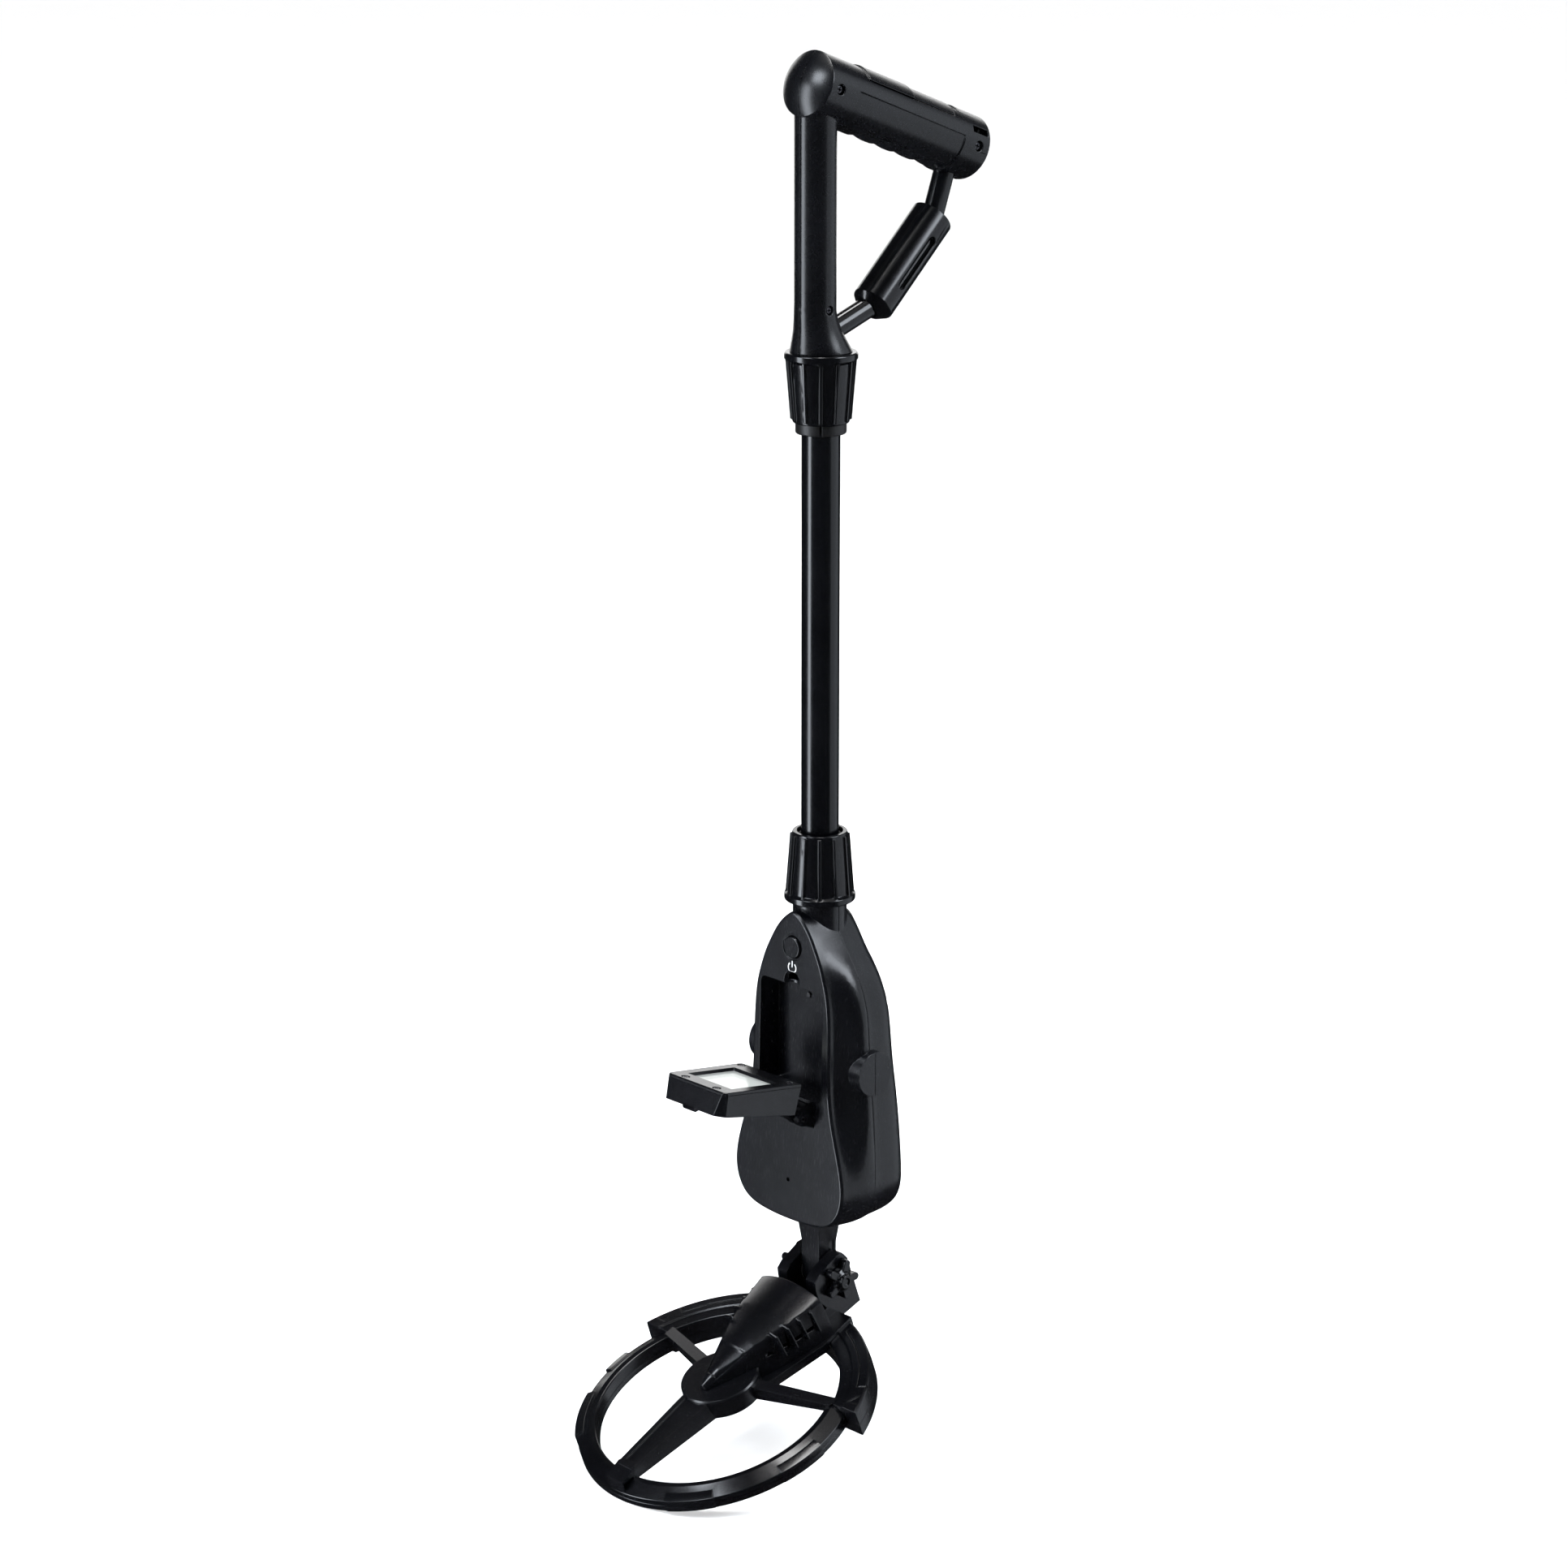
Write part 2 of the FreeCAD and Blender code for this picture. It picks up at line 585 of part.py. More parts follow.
taper = Part.makeLoft([square_wire(STEM_HALF_X, STEM_HALF_Y, STEM_TAPER_LOW),
                       square_wire(STEM_WIDE, STEM_WIDE, STEM_TAPER_TOP)], True, True)
stem = taper.fuse(block(-STEM_HALF_X, STEM_HALF_X, -STEM_HALF_Y, STEM_HALF_Y, 0, STEM_TAPER_LOW))
stem = stem.fuse(cylinder(STEM_HALF_Y, V(-STEM_HALF_X, 0, 0), V(STEM_HALF_X, 0, 0)))
stem = stem.fuse(block(-STEM_WIDE, STEM_WIDE, -STEM_WIDE, STEM_WIDE, STEM_TAPER_TOP, 40.0))
stem_flange = block(-12.0, 12.0, -11.0, 11.0, 38.6, 42.0)
stem = stem.fuse(stem_flange)
eye_relief = cylinder(7.6, V(5.7, 0, 0), V(9, 0, 0)).common(block(5.6, 9, -9, 9, -9, 8.4))
stem = stem.cut(both_sides(eye_relief))
stem = stem.cut(cylinder(BOLT_R + 0.1, V(-9, 0, 0), V(9, 0, 0)))
side_rib = block(5.9, 6.6, 1.0, 4.2, 10.5, 18.5)
stem = stem.cut(both_sides(side_rib))
stem = stem.cut(cylinder(3.2, V(0, 0, 14.0), V(0, 0, 43.0)))
save(stem.removeSplitter(), "coil_stem")

# shells around the stem, the pocket and the round side bosses
stem_opening = block(-STEM_WIDE - 0.05, STEM_WIDE + 0.05, -STEM_WIDE - 0.05,
                     STEM_WIDE + 0.05, 30.0, 41.0)
front_shell = front_body.cut(front_void)
rear_shell = rear_body.cut(rear_void)
bosses = cylinder(BOSS_R, V(-BOSS_X, 0, BOSS_Z), V(BOSS_X, 0, BOSS_Z))
boss_void = cylinder(BOSS_R - 2.0, V(-BOSS_X + 2, 0, BOSS_Z), V(BOSS_X - 2, 0, BOSS_Z))
front_half = block(-60, 60, -60, 0, 20, 240)
rear_half = block(-60, 60, 0, 60, 20, 240)
boss_ring = bosses.cut(boss_void)
front_shell = front_shell.fuse(boss_ring.common(front_half).cut(front_void))
rear_shell = rear_shell.fuse(boss_ring.common(rear_half).cut(rear_void))
front_shell = front_shell.cut(boss_void.common(front_half).cut(block(-34, 34, -60, 60, 90, 150)))
rear_shell = rear_shell.cut(boss_void.common(rear_half).cut(block(-34, 34, -60, 60, 90, 150)))
front_shell = front_shell.fuse(neck.common(front_half))
rear_shell = rear_shell.fuse(neck.common(rear_half))

tub = block(-POCKET_HALF - POCKET_WALL, POCKET_HALF + POCKET_WALL, -40,
            POCKET_FLOOR + POCKET_WALL, POCKET_LOW - POCKET_WALL, POCKET_HIGH + POCKET_WALL)
pocket = block(-POCKET_HALF, POCKET_HALF, -40, POCKET_FLOOR, POCKET_LOW, POCKET_HIGH)
corner = pocket.makeFillet(3.0, [edge for edge in pocket.Edges
                                 if abs(edge.Vertexes[0].Z - edge.Vertexes[-1].Z) < 0.1
                                 and abs(edge.Vertexes[0].X - edge.Vertexes[-1].X) < 0.1])
front_shell = front_shell.fuse(tub.common(front_body))
front_shell = front_shell.cut(corner)
finger_dip = Part.makeSphere(6.0, V(0, face_y(163.0) - 2.2, 163.0))
front_shell = front_shell.cut(finger_dip)
button_boss = round_hole_y(8.0, 0, BUTTON_Z, face_y(BUTTON_Z) + 0.5, -11.0)
front_shell = front_shell.fuse(button_boss.common(front_body))
front_shell = front_shell.cut(round_hole_y(BUTTON_R + 0.35, 0, BUTTON_Z, -30, -10.0))
front_shell = front_shell.cut(round_hole_y(BUTTON_R + 1.3, 0, BUTTON_Z, -30,
                                           face_y(BUTTON_Z) + 0.5))
front_shell = front_shell.cut(round_hole_y(1.1, 0, 57.0, -30, -15.0))
front_shell = front_shell.cut(round_hole_y(1.6, 0, 153.0, -20, -1.0))

# screw posts: blind in the front shell, countersunk in the rear shell
BOX_SCREWS = [(31.0, 60.0), (-31.0, 60.0), (27.5, 150.0), (-27.5, 150.0)]
for x, z in BOX_SCREWS:
    post = round_hole_y(3.6, x, z, -12.0 if z < 100 else -4.0, 0)
    front_shell = front_shell.fuse(post.common(front_body))
    front_shell = front_shell.cut(round_hole_y(1.25, x, z, -10.0 if z < 100 else -3.4, 0.1))
    rear_post = round_hole_y(3.6, x, z, 0, 30).common(rear_body)
    rear_shell = rear_shell.fuse(rear_post)
    rear_shell = rear_shell.cut(round_hole_y(1.6, x, z, -1, 40))
    rear_shell = rear_shell.cut(round_hole_y(3.0, x, z, 8.0, 40))

# standoffs with pins for the board, and a locating ring for the speaker
BOARD_HOLES = [(18.0, 68.0), (-18.0, 68.0), (7.0, 168.0), (-7.0, 168.0)]
BOARD_FRONT = 2.0
BOARD_BACK = 3.6
for x, z in BOARD_HOLES:
    standoff = round_hole_y(2.6, x, z, BOARD_BACK, 30).fuse(round_hole_y(1.3, x, z, 1.0, 8.0))
    rear_shell = rear_shell.fuse(standoff.common(rear_body))
SPEAKER_Z = 80.0
SPEAKER_FRONT = 21.6
speaker_ring = round_hole_y(16.4, 0, SPEAKER_Z, 17.0, 30)
speaker_ring = speaker_ring.cut(round_hole_y(14.7, 0, SPEAKER_Z, 16, 31))
rear_shell = rear_shell.fuse(speaker_ring.common(rear_body))
rear_shell = rear_shell.cut(round_hole_y(14.6, 0, SPEAKER_Z, 16.0, SPEAKER_FRONT + 0.02))

# sound openings in the rear shell
for index in range(7):
    half_length = 11.0 - abs(index - 3) * 2.0
    z = SPEAKER_Z + (index - 3) * 4.0
    vent = block(-half_length, half_length, 15.0, 40.0, z - 0.9, z + 0.9)
    rear_shell = rear_shell.cut(vent)

# clamp around the stem flange, split between the two shells
clamp = block(-14.5, 14.5, -13.5, 13.5, 34.0, 44.0).cut(stem_opening).cut(stem_flange)
clamp = clamp.cut(cylinder(3.6, V(0, 0, 40.0), V(0, 0, 46.0)))
front_shell = front_shell.cut(neck_bore).cut(stem_opening)
rear_shell = rear_shell.cut(neck_bore).cut(stem_opening)
front_shell = front_shell.fuse(clamp.common(front_body))
rear_shell = rear_shell.fuse(clamp.common(rear_body))
save(front_shell, "control_box_front")
save(rear_shell, "control_box_rear")

box_screws = []
for x, z in BOX_SCREWS:
    length = 16.0 if z < 100 else 10.0
    box_screws.append(screw(2.6, 1.8, 1.2, length, V(x, 9.8, z), V(0, -1, 0)))
save(group(box_screws), "control_box_screws")

# electronics inside the box
board = prism_y([(-22, 62), (22, 62), (22, 158), (9, 185), (-9, 185), (-22, 158)],
                BOARD_FRONT, BOARD_BACK)
for x, z in BOARD_HOLES:
    board = board.cut(round_hole_y(1.4, x, z, 0, 6))
save(board, "main_board")
chips = [block(-6, 6, 3.6, 5.2, 118, 130), block(-16, -9, 3.6, 5.4, 136, 144),
         block(9, 15, 3.6, 5.0, 110, 118), block(8, 17, 3.6, 6.2, 140, 146)]
for x, z in ((-16, 112), (-16, 124), (14, 128), (-4, 152), (6, 160)):
    chips.append(round_hole_y(2.4, x, z, 3.6, 9.0))
save(group(chips), "board_components")
switch = block(-3.0, 3.0, -1.8, 2.0, BUTTON_Z - 6.0, BUTTON_Z)
switch = switch.fuse(round_hole_y(1.6, 0, BUTTON_Z - 3.0, -2.9, -1.0))
save(switch, "power_switch")
speaker_basket = round_hole_y(14.5, 0, SPEAKER_Z, SPEAKER_FRONT - 6.5, SPEAKER_FRONT)
speaker_basket = speaker_basket.cut(round_hole_y(13.2, 0, SPEAKER_Z, SPEAKER_FRONT - 5.5,
                                                 SPEAKER_FRONT + 1))
speaker_basket = speaker_basket.fuse(round_hole_y(7.5, 0, SPEAKER_Z, SPEAKER_FRONT - 11.0,
                                                  SPEAKER_FRONT - 6.5))
save(speaker_basket, "speaker_basket")
speaker_cone = cone(5.0, 12.9, V(0, SPEAKER_FRONT - 4.6, SPEAKER_Z),
                    V(0, SPEAKER_FRONT - 1.0, SPEAKER_Z))
speaker_cone = speaker_cone.cut(cone(4.4, 12.3, V(0, SPEAKER_FRONT - 4.2, SPEAKER_Z),
                                     V(0, SPEAKER_FRONT - 0.6, SPEAKER_Z)))
save(speaker_cone, "speaker_cone")
lid_pin = round_hole_y(1.2, 0, 153.0, -7.9, -1.6)
lid_pin = lid_pin.fuse(round_hole_y(2.4, 0, 153.0, -5.2, -4.2))
save(lid_pin, "lid_switch_pin")
lid_switch = block(-4.0, 4.0, -1.6, 2.0, 149.0, 157.0)
save(lid_switch, "lid_switch")

# power button with its guide skirt
button = round_hole_y(BUTTON_R, 0, BUTTON_Z, face_y(BUTTON_Z) - 0.9, -12.2)
top_edges = [edge for edge in button.Edges
             if abs(edge.BoundBox.YMin - (face_y(BUTTON_Z) - 0.9)) < 0.01
             and edge.BoundBox.YLength < 0.01]
button = button.makeFillet(0.7, top_edges)
button = button.fuse(round_hole_y(1.8, 0, BUTTON_Z - 3.0, -12.5, -4.2))
save(button, "power_button")

# hinge bracket on the face of the box
LUG_R = 3.8


def hinge_lug(x0, x1):
    lug = cylinder(LUG_R, V(x0, HINGE_Y, HINGE_Z), V(x1, HINGE_Y, HINGE_Z))
    web = prism_x([(HINGE_Y, HINGE_Z + LUG_R), (HINGE_Y, HINGE_Z - LUG_R),
                   (-18.0, HINGE_Z - 7.0), (-18.0, HINGE_Z + 6.0)], x0, x1)
    return lug.fuse(web)


bracket = both_sides(hinge_lug(14.4, 17.8))
bracket = bracket.fuse(block(-17.8, 17.8, -22.0, -18.0, 89.5, 101.5))
bracket = bracket.cut(cylinder(LUG_R + 0.5, V(-14.4, HINGE_Y, HINGE_Z),
                               V(14.4, HINGE_Y, HINGE_Z)))
bracket = bracket.cut(front_body)
bracket = bracket.cut(cylinder(PIN_R + 0.05, V(-19, HINGE_Y, HINGE_Z), V(19, HINGE_Y, HINGE_Z)))
save(bracket.removeSplitter(), "hinge_bracket")


# ---- flip-up display --------------------------------------------------------------
def in_display(shape):
    # from the display frame: hinge axis at the origin, -Y outwards, +Z screen side
    placed = shape.copy()
    placed.rotate(HOME, X_AXIS, DISPLAY_TILT)
    placed.translate(V(0, HINGE_Y, HINGE_Z))
    return placed


def display_plan(inset, z0, z1):
    out = -DISPLAY_OUT - 3.0 + inset
    inner = -DISPLAY_IN - inset
    points = [(22.0 - inset, inner), (21.4 - inset, out + 5.0), (17.0 - inset, out)]
    corners = points + [(-x, y) for x, y in reversed(points)]
    return prism_z(corners, z0, z1)


def display_side(inset):
    # side profile: slopes on the outer end and underside, screen plane on top
    profile = [(-DISPLAY_IN - inset, DISPLAY_TOP - inset), (-DISPLAY_OUT + inset, DISPLAY_TOP - inset),
               (-DISPLAY_OUT - 2.6 + inset, 8.0 + inset), (-10.8 - inset, 4.2 + inset)]
    return prism_x(profile, -40, 40)


case_outer = display_plan(0.0, 0, 30).common(display_side(0.0))
SPLIT = DISPLAY_TOP - 1.6
case_void = display_plan(1.5, 0, SPLIT).common(display_side(1.5))
SCREW_SPOTS = [(11.3, -57.4), (-11.3, -57.4), (17.7, -12.6), (-17.7, -12.6)]
lower_case = case_outer.common(block(-30, 30, -80, 0, 0, SPLIT)).cut(case_void)
for x, y in SCREW_SPOTS:
    post = cylinder(2.6, V(x, y, 4), V(x, y, SPLIT)).common(case_outer)
    lower_case = lower_case.fuse(post)
    lower_case = lower_case.cut(cylinder(1.0, V(x, y, SPLIT - 7), V(x, y, SPLIT + 1)))
arm_profile = [(-9.6, 4.2), (-9.6, 6.4), (-8.5, 6.2), (-0.5, 3.55), (-0.5, -3.5), (-5.0, -1.0)]
arm = prism_x(arm_profile, 9.2, 13.9).fuse(cylinder(3.55, V(9.2, 0, 0), V(13.9, 0, 0)))
lower_case = lower_case.fuse(both_sides(arm))
ribs = []
for x in (-5.4, -1.8, 1.8, 5.4):
    ribs.append(prism_x([(-10.8, 4.25), (-34.0, 5.9), (-33.0, 4.2), (-14.0, 1.6)], x - 0.5, x + 0.5))
for rib in ribs:
    lower_case = lower_case.fuse(rib)
tab = prism_x([(-DISPLAY_OUT - 2.0, 8.9), (-DISPLAY_OUT - 3.6, 8.0), (-DISPLAY_OUT - 2.4, 6.4),
               (-DISPLAY_OUT + 2.0, 7.9)], -4.5, 4.5)
lower_case = lower_case.fuse(tab.cut(case_outer))
lower_case = lower_case.cut(cylinder(PIN_R, V(-20, 0, 0), V(20, 0, 0)))
save(in_display(lower_case.removeSplitter()), "display_case")

bezel = case_outer.common(block(-30, 30, -80, 0, SPLIT, 30))
frame_edges = [edge for edge in bezel.Edges
               if edge.BoundBox.ZLength < 0.01 and abs(edge.BoundBox.ZMin - DISPLAY_TOP) < 0.01]
bezel = bezel.makeChamfer(0.5, frame_edges)
opening = Part.makeLoft([
    Part.makePolygon([V(-WINDOW_HALF, -WINDOW_OUT, SPLIT - 0.1), V(WINDOW_HALF, -WINDOW_OUT, SPLIT - 0.1),
                      V(WINDOW_HALF, -WINDOW_IN, SPLIT - 0.1), V(-WINDOW_HALF, -WINDOW_IN, SPLIT - 0.1),
                      V(-WINDOW_HALF, -WINDOW_OUT, SPLIT - 0.1)]),
    Part.makePolygon([V(-WINDOW_HALF - 0.8, -WINDOW_OUT - 0.8, DISPLAY_TOP + 0.1),
                      V(WINDOW_HALF + 0.8, -WINDOW_OUT - 0.8, DISPLAY_TOP + 0.1),
                      V(WINDOW_HALF + 0.8, -WINDOW_IN + 0.8, DISPLAY_TOP + 0.1),
                      V(-WINDOW_HALF - 0.8, -WINDOW_IN + 0.8, DISPLAY_TOP + 0.1),
                      V(-WINDOW_HALF - 0.8, -WINDOW_OUT - 0.8, DISPLAY_TOP + 0.1)])],
    True, True)
bezel = bezel.cut(opening)
for x, y in SCREW_SPOTS:
    bezel = bezel.cut(cylinder(2.2, V(x, y, DISPLAY_TOP - 1.1), V(x, y, DISPLAY_TOP + 1)))
    bezel = bezel.cut(cylinder(1.2, V(x, y, SPLIT - 1), V(x, y, DISPLAY_TOP)))
save(in_display(bezel), "display_bezel")
display_screws = []
for x, y in SCREW_SPOTS:
    display_screws.append(in_display(screw(1.9, 0.9, 0.9, 6.0, V(x, y, DISPLAY_TOP - 0.2),
                                           V(0, 0, -1))))
save(group(display_screws), "display_screws")
window = block(-16.4, 16.4, -52.2, -19.0, SPLIT - 0.8, SPLIT)
save(in_display(window), "display_window")
lcd = block(-17.5, 17.5, -53.2, -18.0, SPLIT - 3.2, SPLIT - 0.9)
save(in_display(lcd), "lcd_panel")
display_board = block(-18.4, 18.4, -54.0, -16.0, SPLIT - 5.2, SPLIT - 3.6)
save(in_display(display_board), "display_board")
hinge_pin = cylinder(PIN_R, V(-17.6, 0, 0), V(17.6, 0, 0))
hinge_pin = hinge_pin.cut(cylinder(0.8, V(15.6, 0, 0), V(18, 0, 0)))
save(in_display(hinge_pin), "hinge_pin")


# ---- search coil ----------------------------------------------------------------
def in_coil(shape):
    # from the coil frame: pivot at the origin, -Y forwards along the coil, +Z above it
    placed = shape.copy()
    placed.rotate(HOME, X_AXIS, COIL_TILT)
    return placed


def level(height):
    return COIL_TOP + height


def ring_body(profile):
    return revolve_z([(r, level(h)) for r, h in profile], 0.0, COIL_Y)


def plan_block(y0, y1):
    return block(-120, 120, y0, y1, level(-30), level(30))


rear_zone = plan_block(HOUSING_END, 60)
front_zone = plan_block(-260, HOUSING_END)
housing_full = ring_body([(HOUSING_IN, -HOUSING_DEEP), (HOUSING_OUT + 0.6, -HOUSING_DEEP),
                          (HOUSING_OUT + 0.6, SEAM), (HOUSING_OUT, -0.8), (HOUSING_OUT - 0.8, 0),
                          (72.6, 0), (72.0, -0.7), (HOUSING_IN + 0.8, -0.9), (HOUSING_IN, -1.6)])
housing_void = ring_body([(67.1, -HOUSING_DEEP + 1.7), (79.3, -HOUSING_DEEP + 1.7),
                          (79.3, -2.2), (67.1, -2.6)])
housing = housing_full.common(rear_zone)
void_zone = plan_block(HOUSING_END + 2.0, 60)
housing = housing.cut(housing_void.common(void_zone))
winding_path = ring_body([(67.1, -9.4), (70.9, -9.4), (70.9, -5.4), (67.1, -5.4)])
housing = housing.cut(winding_path)
above_seam = block(-120, 120, -260, 60, level(SEAM), level(30))
below_seam = block(-120, 120, -260, 60, level(-40), level(SEAM))


def triangle_mark(side):
    # raised arrow mark near each end of the housing
    mark = prism_z([(side * 75.5, HOUSING_END + 3.6), (side * 66.5, HOUSING_END + 3.0),
                    (side * 70.5, HOUSING_END + 14.0)], level(-0.9), level(0.0))
    inner = prism_z([(side * 73.6, HOUSING_END + 5.2), (side * 68.2, HOUSING_END + 4.8),
                     (side * 70.6, HOUSING_END + 11.0)], level(-0.5), level(0.5))
    return mark, inner


def radial_groove(angle, r0, r1, width, top):
    groove = block(r0, r1, -width / 2.0, width / 2.0, level(top), level(5))
    groove.rotate(HOME, Z_AXIS, angle)
    groove.translate(V(0, COIL_Y, 0))
    return groove


def arc_groove(radius, width, top, start, stop):
    groove = ring_body([(radius - width / 2, top), (radius + width / 2, top),
                        (radius + width / 2, 5), (radius - width / 2, 5)])
    wedge = Part.makeCylinder(100, 60, V(0, COIL_Y, level(-30)), Z_AXIS, stop - start)
    wedge.rotate(V(0, COIL_Y, 0), Z_AXIS, start)
    return groove.common(wedge)


housing_top = housing.common(above_seam)
for side in (1.0, -1.0):
    mark, inner = triangle_mark(side)
    housing_top = housing_top.fuse(mark).cut(inner)
for start in (32.0, 112.0):
    housing_top = housing_top.cut(arc_groove(76.4, 0.7, -0.5, start, start + 36.0))
for angle in (32.0, 68.0, 112.0, 148.0):
    housing_top = housing_top.cut(radial_groove(angle, 76.4, 82.0, 0.7, -0.5))
housing_low = housing.common(below_seam)
COIL_SCREW_ANGLES = (40.0, 90.0, 140.0)


def coil_screw_spot(angle):
    x = 74.6 * math.cos(math.radians(angle))
    return x, COIL_Y + 74.6 * math.sin(math.radians(angle))


for angle in COIL_SCREW_ANGLES:
    x, y = coil_screw_spot(angle)
    foot = V(x, y, level(-HOUSING_DEEP))
    post = cylinder(3.0, foot, V(x, y, level(SEAM)))
    housing_low = housing_low.fuse(post)
    housing_low = housing_low.cut(cylinder(2.4, V(x, y, level(-HOUSING_DEEP - 1)),
                                           V(x, y, level(-HOUSING_DEEP + 1.6))))
    housing_low = housing_low.cut(cylinder(1.3, foot, V(x, y, level(SEAM + 1))))
    cap_post = cylinder(3.0, V(x, y, level(SEAM)), V(x, y, level(-2.0)))
    housing_top = housing_top.fuse(cap_post)
    housing_top = housing_top.cut(cylinder(1.0, V(x, y, level(SEAM - 1)), V(x, y, level(-3.5))))

ring_full = ring_body([(RING_IN, -11.3), (RING_OUT, -11.3), (RING_OUT, -5.0),
                       (RING_RIDGE, -1.6), (RING_IN + 0.6, -1.6), (RING_IN, -2.2)])
rim_segments = ring_body([(69.5, -10.6), (RING_OUT + 1.2, -10.6), (RING_OUT + 1.2, -4.2),
                          (70.6, -2.7), (69.5, -2.7)])
segments = None
for start, stop in ((-18.0, 2.0), (-66.0, -46.0), (-158.0, -132.0), (-184.0, -172.0)):
    wedge = Part.makeCylinder(100, 60, V(0, COIL_Y, level(-30)), Z_AXIS, stop - start)
    wedge.rotate(V(0, COIL_Y, 0), Z_AXIS, start)
    piece = rim_segments.common(wedge)
    segments = piece if segments is None else segments.fuse(piece)
ring_front = ring_full.fuse(segments).common(front_zone).cut(winding_path)
ring_top = ring_front.common(above_seam)
ring_low = ring_front.common(below_seam)

# arm from the hub to the front of the ring, with an end block over the ring
def arm_wire(y, half_top, top, half_low, low):
    corners = [V(-half_low, y, level(low)), V(half_low, y, level(low)),
               V(half_top, y, level(top)), V(-half_top, y, level(top))]
    return Part.makePolygon(corners + corners[:1])


arm_body = Part.makeLoft([arm_wire(-92.0, 8.8, 6.6, 11.5, -3.0),
                          arm_wire(-150.0, 5.2, 3.6, 6.6, -3.0)], True, True)
arm_groove = Part.makeLoft([arm_wire(-98.5, 5.6, 7.5, 5.6, 5.7),
                            arm_wire(-146.0, 2.9, 4.6, 2.9, 2.9)], True, True)
arm_body = arm_body.cut(arm_groove)
end_block = prism_x([(-147.5, level(3.6)), (-154.0, level(1.8)), (-158.2, level(1.2)),
                     (-159.0, level(-11.4)), (-147.5, level(-11.4))], -6.2, 6.2)
hub = cylinder(HUB_R, V(0, HUB_Y, level(-3.0)), V(0, HUB_Y, level(HUB_TOP)))
hub = hub.makeChamfer(0.8, [edge for edge in hub.Edges
                            if edge.BoundBox.ZLength < 0.01
                            and abs(edge.BoundBox.ZMin - level(HUB_TOP)) < 0.01])


def spoke_wire(x, y, half_width, top, low):
    corners = [V(x, y - half_width, level(low)), V(x, y + half_width, level(low)),
               V(x, y + half_width, level(top)), V(x, y - half_width, level(top))]
    return Part.makePolygon(corners + corners[:1])


spoke = Part.makeLoft([spoke_wire(14.0, -73.4, 3.4, 5.0, -3.0),
                       spoke_wire(67.2, -57.6, 3.1, -1.2, -5.0)], True, True)
deck = prism_z([(20.5, -68.0), (27.0, -30.0), (24.5, -6.5), (-24.5, -6.5), (-27.0, -30.0),
                (-20.5, -68.0)], level(-4.0), level(1.2))
bridge = merge(hub, arm_body, end_block, both_sides(spoke), deck)
underside = cylinder(HUB_R - 2.2, V(0, HUB_Y, level(-3.1)), V(0, HUB_Y, level(HUB_TOP - 2.0)))
bridge = bridge.cut(underside)
rear_foot = block(-EAR_OUT, EAR_OUT, -20.0, 9.8, level(-3.9), level(7.0))
ear_profile = [(9.8, level(-3.9)), (9.8, 7.0), (7.6, 11.6), (4.0, 12.6), (-10.5, 10.2),
               (-14.6, 8.0), (-15.6, 3.5), (-15.6, -3.0), (-11.8, level(7.0) - 0.4),
               (-11.8, level(-3.9))]
ears = both_sides(prism_x(ear_profile, EAR_IN, EAR_OUT))
bridge = merge(bridge, rear_foot, ears)
stem_sweep = cylinder(STEM_HALF_Y + 0.9, V(-EAR_IN, 0, 0), V(EAR_IN, 0, 0))
bridge = bridge.cut(stem_sweep)
bridge = bridge.cut(cylinder(BOLT_R + 0.1, V(-20, 0, 0), V(20, 0, 0)))
bridge = bridge.cut(housing_full.common(plan_block(HOUSING_END, 60)))
bridge = bridge.cut(ring_full.common(front_zone)).cut(segments)
bridge = bridge.cut(ring_body([(HOUSING_IN - 0.4, SEAM), (72, SEAM), (72, -0.5), (HOUSING_IN - 0.4, -0.5)]))
save(in_coil(bridge), "coil_bridge")
save(in_coil(housing_top), "coil_housing_top")
save(in_coil(housing_low), "coil_housing_bottom")
save(in_coil(ring_top), "coil_ring_top")
save(in_coil(ring_low), "coil_ring_bottom")
winding = Part.makeTorus(WINDING_R, 1.5, V(0, COIL_Y, level(-7.4)), Z_AXIS)
save(in_coil(winding), "coil_winding")

# wedge-shaped fairing over the rear of the coil
# distance along the coil, half width at the foot, half width and height of the ridge,
# height of the crown, size of the chamfer along the ridge
FAIRING = [(-20.0, 25.5, 22.0, 21.6, 26.6, 0.9), (-40.0, 23.0, 18.8, 20.0, 24.0, 1.1),
           (-60.0, 17.0, 13.2, 17.2, 20.0, 1.8), (-80.0, 9.2, 6.2, 13.4, 14.8, 2.2),
           (-91.0, 3.4, 2.0, 9.8, 10.6, 0.8)]


def fairing_wire(station, inset):
    y, half_low, half_ridge, ridge, crown, chamfer = station
    low = V(half_low - inset, y, level(0.0))
    side = V(half_ridge - inset, y, level(ridge - chamfer - inset * 0.6))
    high = V(half_ridge - chamfer * 0.9 - inset, y, level(ridge - inset * 0.6))
    top = V(0, y, level(crown - inset))
    left_high = V(-high.x, y, high.z)
    left_side = V(-side.x, y, side.z)
    left_low = V(-low.x, y, low.z)
    arc = Part.Arc(high, top, left_high).toShape()
    return Part.Wire([Part.makeLine(low, side), Part.makeLine(side, high), arc,
                      Part.makeLine(left_high, left_side), Part.makeLine(left_side, left_low),
                      Part.makeLine(left_low, low)])


